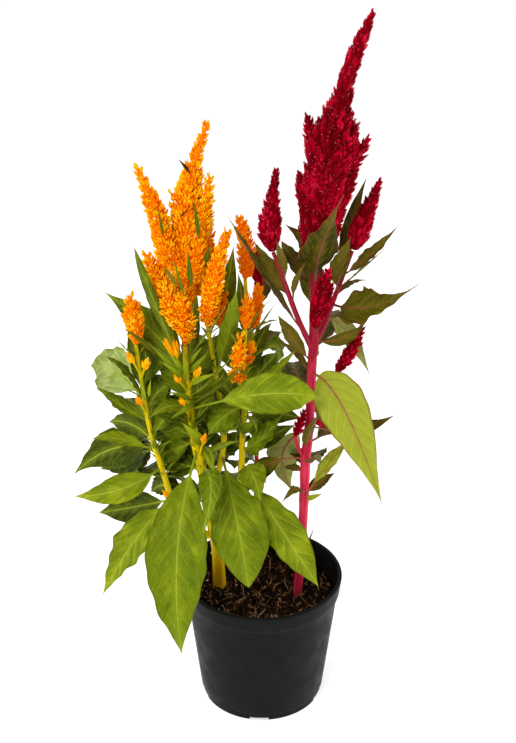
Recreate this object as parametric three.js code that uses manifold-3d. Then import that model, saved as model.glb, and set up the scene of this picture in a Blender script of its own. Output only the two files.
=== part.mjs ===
// Plume celosia in a nursery pot: one orange and one red plant, each a trunk with branches,
// pointed leaves and feathery flower plumes, standing in a pot of soil. Millimetres, +Z up,
// origin at the centre of the pot's underside.

import * as THREE from 'three';
import { mergeVertices } from 'three/addons/utils/BufferGeometryUtils.js';
import Module from 'manifold-3d';

const wasm = await Module();
wasm.setup();

// ---------------------------------------------------------------- driving dimensions

const GAP = 0.4; // clearance between pieces that touch

const POT = {
  height: 130,
  rimRadius: 75, // outside, at the top of the lip
  baseRadius: 57.5,
  wall: 2.2,
  lipHeight: 17.5,
  lipStep: 1.7, // how far the lip stands proud of the wall
  ledgeHeight: 7.5, // height of the slimmer band at the foot
  ledgeStep: 0.9,
  floorHeight: 8,
  recessHeight: 5,
  footWidth: 6,
  padRadius: 17, // flat pad in the middle of the underside
  segments: 32,
  notchCount: 5,
  notchWidth: 18,
  notchHeight: 3.2,
  notchTurn: -3, // degrees from the front
  drainCount: 5,
  drainRadius: 4.5,
  drainRing: 34,
};

const SOIL = {
  top: 108,
  relief: 2.6,
  rings: 5,
  segments: 24,
  chipCount: 9,
  chipSize: 4.2,
};

const STEM_SIDES = 5;
const SHOOT_SIDES = 5;

const LEAF = {
  rootHalf: 1.1, // half width of a leaf's stalk
  ribHalf: 0.8, // half thickness along the midrib
  cup: 0.22, // how far the margins rise, as a share of the half width
  wave: 0.1, // margin wave, as a share of the half width
  waves: 3,
  shape: 2.2, // larger is more pointed
  point: 1.2, // larger draws the tip out longer
  wideFrom: 29, // leaves wider than this get the finer steps
  wideSteps: 6,
  slimSteps: 4,
};

const SPIKE = {
  out: 0.42, // floret height, as a share of the space between florets
  lift: 0.35, // how far a floret's tip leans towards the plume's tip
  sink: 0.12,
};

// Lobes of a plume. Lengths are shares of the plume's radius, but lift and thick are in mm.
const LOBE = {
  lowest: 0.06, // place of the lowest lobe along the plume
  root: 0.4,
  reach: 1.05,
  spread: 0.2, // how much further out the furthest tip is
  rise: 1.3,
  lift: 10,
  girth: 0.3,
  thick: 1,
};
const GOLDEN_ANGLE = 137.5;
const GOLDEN_SHARE = 0.618;

// Stems: points from the root up, with the radius at even steps along them.
const STEMS = {
  orangeMain: {
    path: [
      [-40, 12, 94], [-42, 5, 150], [-46, -2, 180], [-51, -3, 213], [-55, 0, 242],
      [-61, 4, 272], [-64, 6, 302], [-67, 8, 332], [-68, 8, 364],
    ],
    radii: [6.4, 5, 4.4, 4.1, 3.9, 3.6, 3.3, 2.9, 2.4],
  },
  orangeLeft: {
    path: [
      [-49, -2, 172], [-66, -6, 188], [-82, 0, 210], [-91, 4, 240], [-98, 7, 264],
      [-103, 8, 290], [-107, 7, 326], [-111, 5, 368],
    ],
    radii: [3.2, 1.7],
  },
  orangeRight: {
    path: [
      [-45, 3, 148], [-34, 9, 175], [-22, 10, 205], [-19, 10, 240], [-18, 12, 268],
      [-16, 13, 300], [-15, 15, 330], [-13, 18, 372], [-15, 24, 422],
    ],
    radii: [3.4, 1.6],
  },
  orangeInner: {
    path: [
      [-53, -4, 196], [-44, 12, 220], [-37, 18, 246], [-35, 20, 274], [-39, 24, 306],
      [-44, 22, 346], [-48, 8, 384],
    ],
    radii: [3, 1.6],
  },
  redMain: {
    path: [
      [33, -1, 94], [35, -6, 140], [37, -8, 184], [38, -8, 216], [39, -6, 256], [42, -4, 290],
      [43, -2, 330], [44, 0, 369], [44, 5, 410], [44, 8, 446],
    ],
    radii: [4, 4, 4, 4, 4, 3.8, 3.6, 3.5, 3, 2.6],
  },
  redLeft: {
    path: [
      [44, 0, 364], [31, -8, 398], [23, -12, 422], [16, -14, 444], [9, -15, 464],
    ],
    radii: [2.5, 1.7],
  },
  redRight: {
    path: [
      [44, 0, 368], [52, 2, 384], [60, 7, 405], [67, 11, 424], [77, 16, 452],
    ],
    radii: [2.6, 1.7],
  },
  redBack: {
    path: [
      [-13, 30, 94], [-11, 36, 140], [-2, 44, 186], [-6, 58, 230], [-8, 64, 280],
      [-6, 60, 330], [-3, 50, 380], [-3, 46, 398],
    ],
    radii: [2.2, 1.5],
  },
};

// Leaves: [place along the stem (0 root, 1 top), tip, width, arch, sideways swing, extras].
// Arch lifts the middle of the blade above its chord, and bow says how far along the chord the
// bend is. The first leaves of each list face the front, and the others fill the back and the
// inside of the plant.
const LEAVES = {
  orangeMain: [
    [0.58, [-72, -100, 111], 54, 32, -6, { belly: 0.5 }],
    [0.5, [-52, -78, 223], 22, 20, 8, { roll: 15 }],
    [0.88, [-105, -48, 485], 9, 1, -4, { roll: 50, bow: 0.81 }],
    [0.9, [-143, 44, 402], 32, 5, -2, { roll: -50, point: 1.5 }],
    [0.86, [-120, -24, 399], 11, 1, -8, { roll: -30 }],
    [0.9, [-98, -16, 379], 6, 1, -3],
    [0.94, [-31, -34, 423], 9, -1, -1, { roll: 30 }],
    [0.8, [-27, -28, 372], 12, -3, -2, { roll: 30 }],
    [0.77, [-15, -12, 358], 8, -3, 1, { roll: 30 }],
    [0.7, [-46, -10, 318], 11, -2, -1, { roll: 20 }],
    [0.75, [-98, -32, 315], 15, 6, -2, { roll: -30 }],
    [0.59, [-72, -26, 307], 11, 4, 1],
    [0.56, [-21, -38, 295], 11, 0, 1, { roll: 30 }],
    [0.6, [-45, -36, 264], 9, 5, 6],
    [0.95, [-108, 60, 420], 12, 14, 14],
    [0.41, [-69, 20, 179], 22, 4, -2],
    [0.78, [-99, 24, 351], 24, 2, -4, { roll: -45 }],
    [0.62, [-98, 22, 272], 26, 8, 0, { roll: -30 }],
    [0.66, [-34, 4, 338], 24, 4, 0, { roll: 30 }],
    [0.48, [-84, 54, 228], 28, 10, 0, { roll: -20 }],
    [0.35, [-90, 85, 150], 34, 16, 6],
    [0.45, [-45, 105, 190], 36, 18, -6],
    [0.55, [-85, 95, 250], 34, 12, 6],
    [0.65, [-58, 92, 300], 26, 8, 0],
    [0.75, [-92, 72, 350], 20, 6, 4],
    [0.85, [-60, 75, 400], 16, 4, 0],
    [0.75, [47, -40, 339], 36, 16, -18, { roll: 60, petiole: 0.2, belly: 0.5, point: 1, bow: 0.85 }],
    [0.66, [-103, 45, 292], 30, 6, 0, { roll: -20 }],
    [0.5, [-108, 50, 214], 34, 8, 4, { roll: -15 }],
    [0.82, [-33, 42, 363], 22, 4, 2, { roll: 25 }],
    [0.7, [-22, 48, 290], 28, 8, -3, { roll: 20 }],
  ],
  orangeLeft: [
    [0.3, [-146, -50, 138], 36, 10, 3, { roll: -10 }],
    [0.44, [-172, -14, 223], 25, 1, 15, { roll: -50, belly: 0.5, point: 1.5 }],
    [0.55, [-180, 45, 207], 36, 11, -8, { roll: -75, point: 1.5 }],
    [0.54, [-152, -20, 286], 15, 1, -10, { roll: -30, petiole: 0.15 }],
    [0.71, [-147, 0, 329], 16, -3, -2, { roll: -30 }],
    [0.79, [-138, -10, 364], 13, 5, -6, { roll: -30 }],
    [0.95, [-126, -5, 378], 6, -1, -3],
    [0.8, [-158, 60, 317], 44, 2, -9, { roll: -50, belly: 0.5, bow: 0.85 }],
    [0.29, [-155, 30, 177], 30, -3, -5, { roll: -65, bow: 0.67 }],
    [0.26, [-113, 25, 139], 28, 4, -5],
    [0.35, [-118, 85, 180], 34, 16, 4],
    [0.55, [-132, 90, 268], 28, 10, -4],
    [0.8, [-122, 62, 372], 16, 4, 0],
    [0.62, [-64, 45, 298], 26, 8, -3, { roll: 25 }],
    [0.5, [-60, 45, 224], 30, 10, 0, { roll: 20 }],
    [0.4, [-59, 38, 181], 28, 8, 0, { roll: 20 }],
    [0.85, [-77, 38, 357], 20, 4, 2, { roll: 20 }],
    [0.6, [-134, 55, 225], 30, 8, 0, { roll: -30 }],
  ],
  orangeRight: [
    [0.36, [50, -75, 166], 35, 10, -6, { roll: 20, bow: 0.77 }],
    [0.63, [-49, 0, 278], 34, 8, 4, { roll: -25 }],
    [0.68, [18, 48, 340], 22, 4, 0, { roll: 30 }],
    [0.45, [19, 0, 302], 28, -3, -9, { roll: 35 }],
    [0.59, [-5, -30, 299], 8, 4, 2],
    [0.38, [-2, -38, 232], 26, 8, 2, { roll: 20 }],
    [0.69, [33, 4, 368], 13, -3, -4, { roll: 30 }],
    [0.8, [7, 10, 330], 26, 22, 14],
    [0.86, [9, 12, 410], 6, 4, -3],
    [0.84, [12, 20, 402], 6, 1, -3],
    [0.87, [15, 0, 394], 8, 3, 1],
    [0.81, [-29, -15, 392], 6, 0, -1],
    [0.52, [14, 24, 268], 28, 8, -6, { roll: 30 }],
    [0.3, [-24, 98, 150], 34, 18, 6],
    [0.5, [-36, 98, 236], 28, 14, 0],
    [0.72, [-30, 88, 335], 18, 8, 0],
    [0.84, [-22, 70, 408], 12, 4, 0],
    [0.42, [4, 36, 203], 26, 8, 4, { roll: 20 }],
    [0.35, [-26, 45, 215], 28, 10, 0],
    [0.75, [-43, 50, 344], 18, 4, 0, { roll: -20 }],
  ],
  orangeInner: [
    [0.34, [-12, -85, 172], 52, 12, -1, { belly: 0.56, point: 1 }],
    [0.95, [-25, 25, 454], 18, -2, -4, { roll: 55 }],
    [0.76, [-22, -34, 441], 17, 2, 4],
    [0.84, [-28, -32, 428], 7, 2, 4],
    [0.9, [-32, 60, 440], 14, 12, 4],
    [0.46, [-24, -30, 300], 20, 4, 2, { roll: 25 }],
    [0.5, [-62, 100, 250], 30, 14, 0],
    [0.7, [-64, 96, 335], 22, 8, 0],
    [0.5, [0, 52, 295], 26, 8, 2, { roll: 25 }],
    [0.45, [-55, 52, 267], 26, 8, 0],
    [0.3, [-30, 50, 245], 28, 8, 0, { roll: 15 }],
    [0.62, [-69, 45, 362], 20, 4, 0, { roll: -20 }],
  ],
  redMain: [
    [0.94, [65, -52, 532], 34, -1, -5, { belly: 0.34, point: 1.7 }],
    [0.93, [18, 24, 474], 16, 4, -10, { roll: -25 }],
    [0.92, [16, 40, 452], 20, 8, 7],
    [0.73, [13, -16, 407], 13, -2, 3, { roll: -80, bow: 0.76 }],
    [0.7, [107, -40, 230], 43, 20, -9, { roll: 50, belly: 0.44, point: 1.2, bow: 0.04 }],
    [0.56, [121, 20, 289], 16, -10, -2, { roll: 30, petiole: 0.2 }],
    [0.79, [89, -6, 396], 11, -6, -6, { roll: 60, bow: 0.65 }],
    [0.48, [51, -30, 320], 11, -1, -5],
    [0.44, [50, -28, 278], 10, -3, -2],
    [0.33, [76, -10, 278], 14, 6, -12, { roll: 40, belly: 0.55, petiole: 0.35 }],
    [0.35, [67, 6, 236], 12, 0, 1, { roll: 30 }],
    [0.34, [17, -26, 223], 12, 12, 3],
    [0.45, [-18, 4, 208], 18, 14, -2, { roll: -65, petiole: 0.3, bow: 0.44 }],
    [0.55, [28, 44, 193], 30, 16, 11, { roll: 20, belly: 0.5, bow: 0.65 }],
    [0.41, [20, 10, 240], 12, 3, 3],
    [0.68, [9, 28, 360], 9, 10, 0],
    [0.66, [52, 34, 262], 14, 4, -4],
    [0.4, [58, 95, 190], 34, 16, 6],
    [0.5, [98, 70, 240], 28, 12, -4],
    [0.62, [30, 100, 300], 30, 12, 6],
    [0.75, [72, 92, 360], 26, 8, 0],
    [0.85, [42, 88, 430], 22, 4, 0],
  ],
  redLeft: [
    [0.13, [-29, -34, 506], 15, -1, -7, { roll: -30 }],
    [0.46, [-8, 4, 467], 15, 0, 1, { roll: -30 }],
    [0.61, [11, -34, 484], 9, 2, 0, { petiole: 0.2 }],
    [0.41, [36, -26, 460], 8, 3, -1, { petiole: 0.2 }],
  ],
  redRight: [
    [0.51, [134, -15, 437], 34, -6, -14, { roll: 30, belly: 0.36, point: 1.8 }],
    [0.82, [115, 4, 481], 14, -1, -8, { roll: 30 }],
    [0.7, [103, -4, 463], 8, -1, 1],
    [0.78, [91, 60, 504], 14, -6, 6],
    [0.89, [85, 44, 482], 9, -10, 6],
    [0.65, [74, -14, 478], 18, 2, -2],
    [0.35, [97, 22, 327], 18, 8, 5, { roll: 80, petiole: 0.15, bow: 0.18 }],
    [0.58, [93, 30, 418], 8, 5, 1],
  ],
  redBack: [
    [0.5, [22, 108, 238], 26, 12, 0],
    [0.7, [20, 95, 335], 18, 8, 0],
    [0.85, [8, 88, 405], 14, 4, 0],
  ],
};

// Buds in the leaf joints: [place along the stem, tip, radius].
const BUDS = {
  orangeMain: [
    [0.83, [-53, -12, 356], 3.4],
    [0.82, [-78, -10, 347], 3],
    [0.55, [-50, -18, 292], 3],
    [0.87, [-85, -6, 388], 6],
    [0.7, [-73, -12, 326], 2.6],
  ],
  orangeLeft: [
    [0.9, [-119, -6, 368], 3.4],
    [0.88, [-99, -4, 362], 3.4],
    [0.74, [-112, -6, 324], 3],
    [0.27, [-92, -10, 228], 2.6],
  ],
  orangeRight: [
    [0.76, [-25, -4, 373], 4],
    [0.8, [-8, 6, 371], 3],
  ],
  redMain: [
    [0.58, [56, -10, 292], 3],
  ],
};

// Thin shoots that carry a small plume of their own: a path, fused into the stem it leaves.
const SHOOTS = {
  orangeRight: [
    [[-14, 16, 350], [-10, 22, 362], [-9, 26, 372]],
    [[-14, 16, 354], [-15, 6, 370], [-15, 1, 384]],
  ],
  redMain: [
    [[43, -1, 318], [56, 4, 322], [65, 5, 339]],
    [[39, -6, 256], [32, -10, 272], [29, -12, 285]],
    [[43, -1, 352], [47, -10, 370], [46, -14, 393]],
  ],
};
const SHOOT_RADII = [2, 1.5];

// Plumes: an axis with a radius at each of its even steps, and the side plumes fused to it.
const PLUMES = {
  orange_plume_main: {
    path: [
      [-68, 8, 366], [-69, 8, 406], [-68, 8, 443], [-64, 8, 482], [-59, 7, 526], [-46, 4, 571],
    ],
    radii: [2.6, 4, 6, 8.5, 10.5, 11.5, 12.5, 12.5, 12.5, 12, 10, 7.5, 3.6, 3, 1.2],
    sides: 12,
    rings: 20,
    lobes: 5,
    lobesTo: 0.6,
    sidePlumes: [
      { path: [[-75, 0, 445], [-88, -4, 492], [-103, -6, 536]], radius: 7.5 },
      { path: [[-58, 2, 455], [-50, 0, 490], [-44, 0, 526]], radius: 6.5 },
      { path: [[-74, -4, 408], [-87, -10, 434], [-97, -14, 461]], radius: 9 },
      { path: [[-60, -2, 430], [-55, -10, 456], [-52, -12, 483]], radius: 7 },
      { path: [[-69, -2, 386], [-78, -12, 412], [-85, -16, 438]], radius: 9 },
      { path: [[-65, 2, 376], [-68, -12, 402], [-69, -18, 427]], radius: 8 },
      { path: [[-72, 14, 420], [-84, 26, 450], [-92, 32, 482]], radius: 9 },
      { path: [[-57, 16, 410], [-50, 28, 438], [-46, 34, 466]], radius: 8 },
      { path: [[-66, 16, 450], [-66, 30, 478], [-64, 36, 510]], radius: 8 },
    ],
  },
  orange_plume_inner: {
    path: [[-48, 6, 386], [-45, -12, 418], [-40, -18, 446], [-30, -18, 484]],
    radii: [3, 6, 7, 7, 6, 4, 2],
    sides: 8,
    rings: 14,
  },
  orange_plume_left: {
    path: [[-111, 5, 369], [-112, 4, 390], [-114, 2, 415]],
    radii: [3.5, 6, 7, 6.5, 4.5, 1.5],
    sides: 8,
    rings: 9,
  },
  orange_plume_right: {
    path: [[-15, 24, 423], [-14, 26, 449], [-19, 28, 477]],
    radii: [3, 6, 6, 5, 4, 2],
    sides: 6,
    rings: 9,
  },
  orange_plume_low_right: {
    path: [[-9, 26, 373], [-6, 30, 392], [-3, 31, 410]],
    radii: [3, 5, 5, 4, 3, 1.5],
    sides: 6,
    rings: 7,
  },
  orange_plume_low_small: {
    path: [[-15, 1, 385], [-14, 0, 400], [-13, 0, 415]],
    radii: [2, 4, 5, 4, 3, 1.5],
    sides: 6,
    rings: 6,
  },
  red_plume_main: {
    path: [
      [45, 8, 449], [50, 8, 492], [57, 6, 537], [62, 4, 582], [72, 0, 624], [87, -4, 666],
    ],
    radii: [11, 19.5, 22.5, 23.5, 24, 19, 9.5, 7, 7, 5.5, 1.5],
    sides: 14,
    rings: 24,
    lobes: 11,
    lobesTo: 0.38,
  },
  red_plume_left: {
    path: [[8, -15, 466], [6, -14, 489], [11, -12, 537]],
    radii: [4, 9, 10, 10, 7, 4, 2],
    sides: 8,
    rings: 12,
  },
  red_plume_right: {
    path: [[78, 16, 454], [85, 18, 475], [99, 20, 515]],
    radii: [4, 9, 10, 9, 7, 4, 2],
    sides: 8,
    rings: 12,
  },
  red_plume_front: {
    path: [[45, -14, 395], [50, -18, 422], [55, -20, 450]],
    radii: [4, 8, 9, 8, 6, 2],
    sides: 8,
    rings: 9,
  },
  red_plume_low_right: {
    path: [[66, 5, 341], [77, 1, 362], [86, 0, 385]],
    radii: [3, 6, 6, 5, 4, 2],
    sides: 6,
    rings: 8,
  },
  red_plume_low_left: {
    path: [[29, -12, 286], [33, -14, 298], [37, -14, 311]],
    radii: [2, 4, 4, 3, 1.5],
    sides: 6,
    rings: 5,
  },
  red_plume_back: {
    path: [[-3, 46, 400], [-4, 48, 419], [-5, 48, 440]],
    radii: [2, 5, 5, 4, 2],
    sides: 6,
    rings: 7,
  },
};

// ---------------------------------------------------------------- materials

const MATERIALS = {
  pot: new THREE.MeshStandardMaterial({ color: 0x26282b, roughness: 0.6 }),
  soil: new THREE.MeshStandardMaterial({ color: 0x2b1a12, roughness: 1 }),
  orangeLeaf: new THREE.MeshStandardMaterial({ color: 0x6f9a1c, roughness: 0.55 }),
  redLeaf: new THREE.MeshStandardMaterial({ color: 0x4f6b2a, roughness: 0.55 }),
  orangePlume: new THREE.MeshStandardMaterial({ color: 0xff9800, roughness: 0.8 }),
  redPlume: new THREE.MeshStandardMaterial({ color: 0xb3001f, roughness: 0.8 }),
};

// ---------------------------------------------------------------- helpers

const UP = new THREE.Vector3(0, 0, 1);
const vector = (point) => new THREE.Vector3(...point);
const lerp = THREE.MathUtils.lerp;
const degrees = THREE.MathUtils.degToRad;

/** Seeded random numbers from 0 to 1. */
function randomSource(seed) {
  let state = seed;
  return () => {
    state = (state + 0x6d2b79f5) | 0;
    let mixed = Math.imul(state ^ (state >>> 15), 1 | state);
    mixed = (mixed + Math.imul(mixed ^ (mixed >>> 7), 61 | mixed)) ^ mixed;
    return ((mixed ^ (mixed >>> 14)) >>> 0) / 4294967296;
  };
}

/** A manifold solid from a closed geometry. */
function solidFrom(geometry) {
  geometry.deleteAttribute('normal');
  geometry.deleteAttribute('uv');
  const merged = mergeVertices(geometry, 1e-4);
  const corners = [];
  for (let i = 0; i < merged.index.count; i += 3) {
    const [a, b, c] = [0, 1, 2].map((k) => merged.index.getX(i + k));
    if (a !== b && b !== c && c !== a) corners.push(a, b, c);
  }
  return new wasm.Manifold(new wasm.Mesh({
    numProp: 3,
    vertProperties: new Float32Array(merged.attributes.position.array),
    triVerts: new Uint32Array(corners),
  }));
}

/** A geometry from a manifold solid. */
function geometryFrom(solid) {
  const mesh = solid.getMesh();
  const geometry = new THREE.BufferGeometry();
  geometry.setAttribute('position', new THREE.BufferAttribute(mesh.vertProperties, 3));
  geometry.setIndex(new THREE.BufferAttribute(mesh.triVerts, 1));
  geometry.computeVertexNormals();
  return geometry;
}

/** All of a list of solids joined in one. */
const join = (solids) => solids.reduce((sum, solid) => sum.add(solid));

/** The main body of a solid, with no loose scraps and no sealed hollows. */
const mainBody = (solid) =>
  solid.decompose().reduce((best, part) => (part.volume() > best.volume() ? part : best));

/**
 * A closed solid through rings of points, from a start point to an end point. Every ring runs
 * anticlockwise seen from the end. flip(i, j) says which way quad j of band i is split.
 */
function loft(start, rings, end, flip = () => false) {
  const count = rings[0].length;
  const positions = [start, ...rings.flat(), end].flatMap((p) => [p.x, p.y, p.z]);
  const at = (i, j) => 1 + i * count + (j % count);
  const last = rings.length - 1;
  const endIndex = 1 + rings.length * count;
  const index = [];
  for (let j = 0; j < count; j += 1) {
    index.push(0, at(0, j + 1), at(0, j));
    index.push(endIndex, at(last, j), at(last, j + 1));
  }
  for (let i = 0; i < last; i += 1) {
    for (let j = 0; j < count; j += 1) {
      const [a, b, c, d] = [at(i, j), at(i, j + 1), at(i + 1, j + 1), at(i + 1, j)];
      if (flip(i, j)) index.push(a, b, d, b, c, d);
      else index.push(a, b, c, a, c, d);
    }
  }
  const geometry = new THREE.BufferGeometry();
  geometry.setAttribute('position', new THREE.Float32BufferAttribute(positions, 3));
  geometry.setIndex(index);
  return solidFrom(geometry);
}

const curveThrough = (points) =>
  new THREE.CatmullRomCurve3(points.map(vector), false, 'catmullrom', 0.5);

/** Points and frames at even steps along a curve, turning as little as they can. */
function framesAlong(curve, steps) {
  const frames = [];
  let side = new THREE.Vector3(1, 0, 0);
  for (let i = 0; i <= steps; i += 1) {
    const tangent = curve.getTangent(i / steps);
    side = side.clone().addScaledVector(tangent, -side.dot(tangent)).normalize();
    const over = new THREE.Vector3().crossVectors(tangent, side);
    frames.push({ point: curve.getPoint(i / steps), tangent, side, over });
  }
  return frames;
}

/** The point at an angle and radius in a frame's plane. */
const aroundFrame = (frame, angle, radius) => frame.point.clone()
  .addScaledVector(frame.side, radius * Math.cos(angle))
  .addScaledVector(frame.over, radius * Math.sin(angle));

/** A value read from an even row of values, at a place from 0 to 1. */
function along(values, place) {
  const position = place * (values.length - 1);
  const i = Math.min(Math.floor(position), values.length - 2);
  return lerp(values[i], values[i + 1], position - i);
}

// ---------------------------------------------------------------- pot and soil

const wallRadius = (z) =>
  lerp(POT.baseRadius, POT.rimRadius - POT.lipStep, z / POT.height);

/** The pot: a turned shell with a lip, a foot ring cut by notches, and drain holes. */
function potSolid() {
  const { height, wall, lipHeight, lipStep, ledgeHeight, ledgeStep, floorHeight } = POT;
  const lipBase = height - lipHeight;
  const insideRim = POT.rimRadius - lipStep - wall;
  const footInside = POT.baseRadius - POT.footWidth;
  const profile = [
    [0, 0], [POT.padRadius, 0], [POT.padRadius + 2, POT.recessHeight],
    [footInside - 1.5, POT.recessHeight], [footInside, 0],
    [POT.baseRadius - ledgeStep - 1, 0], [POT.baseRadius - ledgeStep, 1],
    [wallRadius(ledgeHeight) - ledgeStep, ledgeHeight],
    [wallRadius(ledgeHeight), ledgeHeight + 0.8],
    [wallRadius(lipBase), lipBase], [wallRadius(lipBase) + lipStep, lipBase + 1],
    [POT.rimRadius, height - 1.4], [POT.rimRadius - 1.4, height],
    [insideRim + 0.8, height], [insideRim, height - 1],
    [wallRadius(floorHeight) - wall, floorHeight], [0, floorHeight],
  ].map(([r, z]) => new THREE.Vector2(r, z));
  const shell = new THREE.LatheGeometry(profile, POT.segments).rotateX(Math.PI / 2);
  let pot = solidFrom(shell);
  for (let k = 0; k < POT.notchCount; k += 1) {
    const turn = degrees(POT.notchTurn + (360 * k) / POT.notchCount);
    const notch = new THREE.BoxGeometry(POT.notchWidth, 16, 2 * POT.notchHeight);
    notch.translate(0, -POT.baseRadius, 0).rotateZ(turn);
    pot = pot.subtract(solidFrom(notch));
  }
  for (let k = 0; k < POT.drainCount; k += 1) {
    const turn = degrees((360 * (k + 0.5)) / POT.drainCount);
    const drain = new THREE.CylinderGeometry(POT.drainRadius, POT.drainRadius, 20, 8);
    drain.rotateX(Math.PI / 2).translate(0, -POT.drainRing, POT.recessHeight).rotateZ(turn);
    pot = pot.subtract(solidFrom(drain));
  }
  return pot;
}

/** Height of the soil at a place: low mounds that sum to a few millimetres. */
function soilHeight(x, y) {
  const mounds = Math.sin(x * 0.11 + 1) * Math.cos(y * 0.13)
    + 0.6 * Math.sin(x * 0.27 + y * 0.21)
    + 0.4 * Math.cos(x * 0.41 - y * 0.37);
  return SOIL.top + SOIL.relief * 0.5 * mounds;
}

/** The soil: a plug that fills the pot, lumpy on top, with bark chips, cut by plain stem holes. */
function soilSolid(standingStems) {
  const bottom = POT.floorHeight + GAP;
  const insideRadius = (z) => wallRadius(z) - POT.wall - GAP;
  const ring = (radius, height) => Array.from({ length: SOIL.segments }, (_, j) => {
    const angle = (2 * Math.PI * j) / SOIL.segments;
    const [x, y] = [radius * Math.cos(angle), radius * Math.sin(angle)];
    return new THREE.Vector3(x, y, height(x, y));
  });
  const edge = insideRadius(SOIL.top) - SOIL.relief * 0.2;
  const rings = [ring(insideRadius(bottom) - 0.2, () => bottom), ring(edge, () => SOIL.top - 2)];
  for (let k = SOIL.rings; k > 0; k -= 1) {
    rings.push(ring((edge * (k - 0.25)) / SOIL.rings, soilHeight));
  }
  const start = new THREE.Vector3(0, 0, bottom);
  const middle = new THREE.Vector3(0, 0, soilHeight(0, 0));
  let soil = loft(start, rings, middle);
  const random = randomSource(7);
  for (let k = 0; k < SOIL.chipCount; k += 1) {
    const angle = 2 * Math.PI * random();
    const radius = (edge - 8) * Math.sqrt(random());
    const [x, y] = [radius * Math.cos(angle), radius * Math.sin(angle)];
    const chip = new THREE.OctahedronGeometry(SOIL.chipSize * (0.7 + 0.6 * random()));
    chip.scale(1.3, 0.8, 0.6).rotateX(random() - 0.5).rotateZ(2 * Math.PI * random());
    soil = soil.add(solidFrom(chip.translate(x, y, soilHeight(x, y))));
  }
  return standingStems.reduce((left, stem) => left.subtract(stemSolid(stem, GAP)), soil);
}

// ---------------------------------------------------------------- stems and leaves

/** A tube along a curve, its radius read from a row, made fatter and longer at the root by extra. */
function tubeSolid(curve, radii, sides, steps, extra = 0) {
  const frames = framesAlong(curve, steps);
  frames[0].point.addScaledVector(frames[0].tangent, -2 * extra);
  const rings = frames.map((frame, i) => Array.from({ length: sides }, (_, j) => {
    const radius = along(radii, i / steps) + extra;
    return aroundFrame(frame, (2 * Math.PI * j) / sides, radius);
  }));
  return loft(frames[0].point, rings, frames[steps].point);
}

const stemSolid = (stem, extra = 0) =>
  tubeSolid(curveThrough(stem.path), stem.radii, STEM_SIDES, 2 * (stem.path.length - 1), extra);

const shootSolid = (path) => tubeSolid(curveThrough(path), SHOOT_RADII, SHOOT_SIDES, 4);

/** Half the blade's width at a place past its stalk, as a share of the widest half. */
function bladeShape(place, belly, point) {
  const [before, after] = [LEAF.shape * belly, LEAF.shape * (1 - belly) * point];
  return (place / belly) ** before * ((1 - place) / (1 - belly)) ** after;
}

/** One leaf: a pointed blade with waved margins on an arched midrib, rooted in its stem. */
function leafSolid(stemCurve, [place, tipPoint, width, arch, swing, extras = {}]) {
  const { belly = 0.42, petiole = 0.12, bow = 0.5, roll = 0, point = LEAF.point } = extras;
  const root = stemCurve.getPoint(place);
  const tip = vector(tipPoint);
  const chord = tip.clone().sub(root);
  const heading = new THREE.Vector3(chord.x, chord.y, 0).normalize();
  const across = new THREE.Vector3().crossVectors(UP, heading);
  const rise = new THREE.Vector3().crossVectors(chord, across).normalize();
  const middle = root.clone().addScaledVector(chord, bow)
    .addScaledVector(rise, 2 * arch).addScaledVector(across, 2 * swing);
  const midrib = new THREE.QuadraticBezierCurve3(root, middle, tip);
  const steps = width > LEAF.wideFrom ? LEAF.wideSteps : LEAF.slimSteps;
  const rings = [];
  for (let i = 0; i < steps; i += 1) {
    const place01 = i / steps;
    const blade = Math.max(0, (place01 - petiole) / (1 - petiole));
    const spread = (width / 2) * bladeShape(blade, belly, point);
    const half = Math.max(LEAF.rootHalf * (1 - place01), spread);
    const tangent = midrib.getTangent(place01);
    const flat = across.clone().addScaledVector(tangent, -across.dot(tangent)).normalize();
    const side = flat.applyAxisAngle(tangent, degrees(roll));
    const normal = new THREE.Vector3().crossVectors(tangent, side);
    const thick = Math.max(LEAF.ribHalf, LEAF.rootHalf * (1 - 3 * place01));
    const centre = midrib.getPoint(place01);
    const margin = (sign) => {
      const wave = Math.sin(2 * Math.PI * LEAF.waves * blade + sign);
      const raised = blade > 0 ? half * (LEAF.cup + LEAF.wave * wave) : 0;
      return centre.clone().addScaledVector(side, sign * half).addScaledVector(normal, raised);
    };
    const top = centre.clone().addScaledVector(normal, thick);
    const under = centre.clone().addScaledVector(normal, -thick);
    rings.push([margin(1), top, margin(-1), under]);
  }
  return loft(root, rings, tip, (i, j) => j >= 2);
}

/** A leafy stem: its tube with its shoots, leaves and buds fused in. */
function leafyStem(name) {
  const stem = STEMS[name];
  const curve = curveThrough(stem.path);
  return join([
    stemSolid(stem),
    ...(SHOOTS[name] ?? []).map(shootSolid),
    ...LEAVES[name].map((leaf) => leafSolid(curve, leaf)),
    ...(BUDS[name] ?? []).map(([place, tip, radius]) =>
      coneOfFlorets([curve.getPoint(place).toArray(), tip], radius, 4, 4)),
  ]);
}

// ---------------------------------------------------------------- plumes

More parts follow.
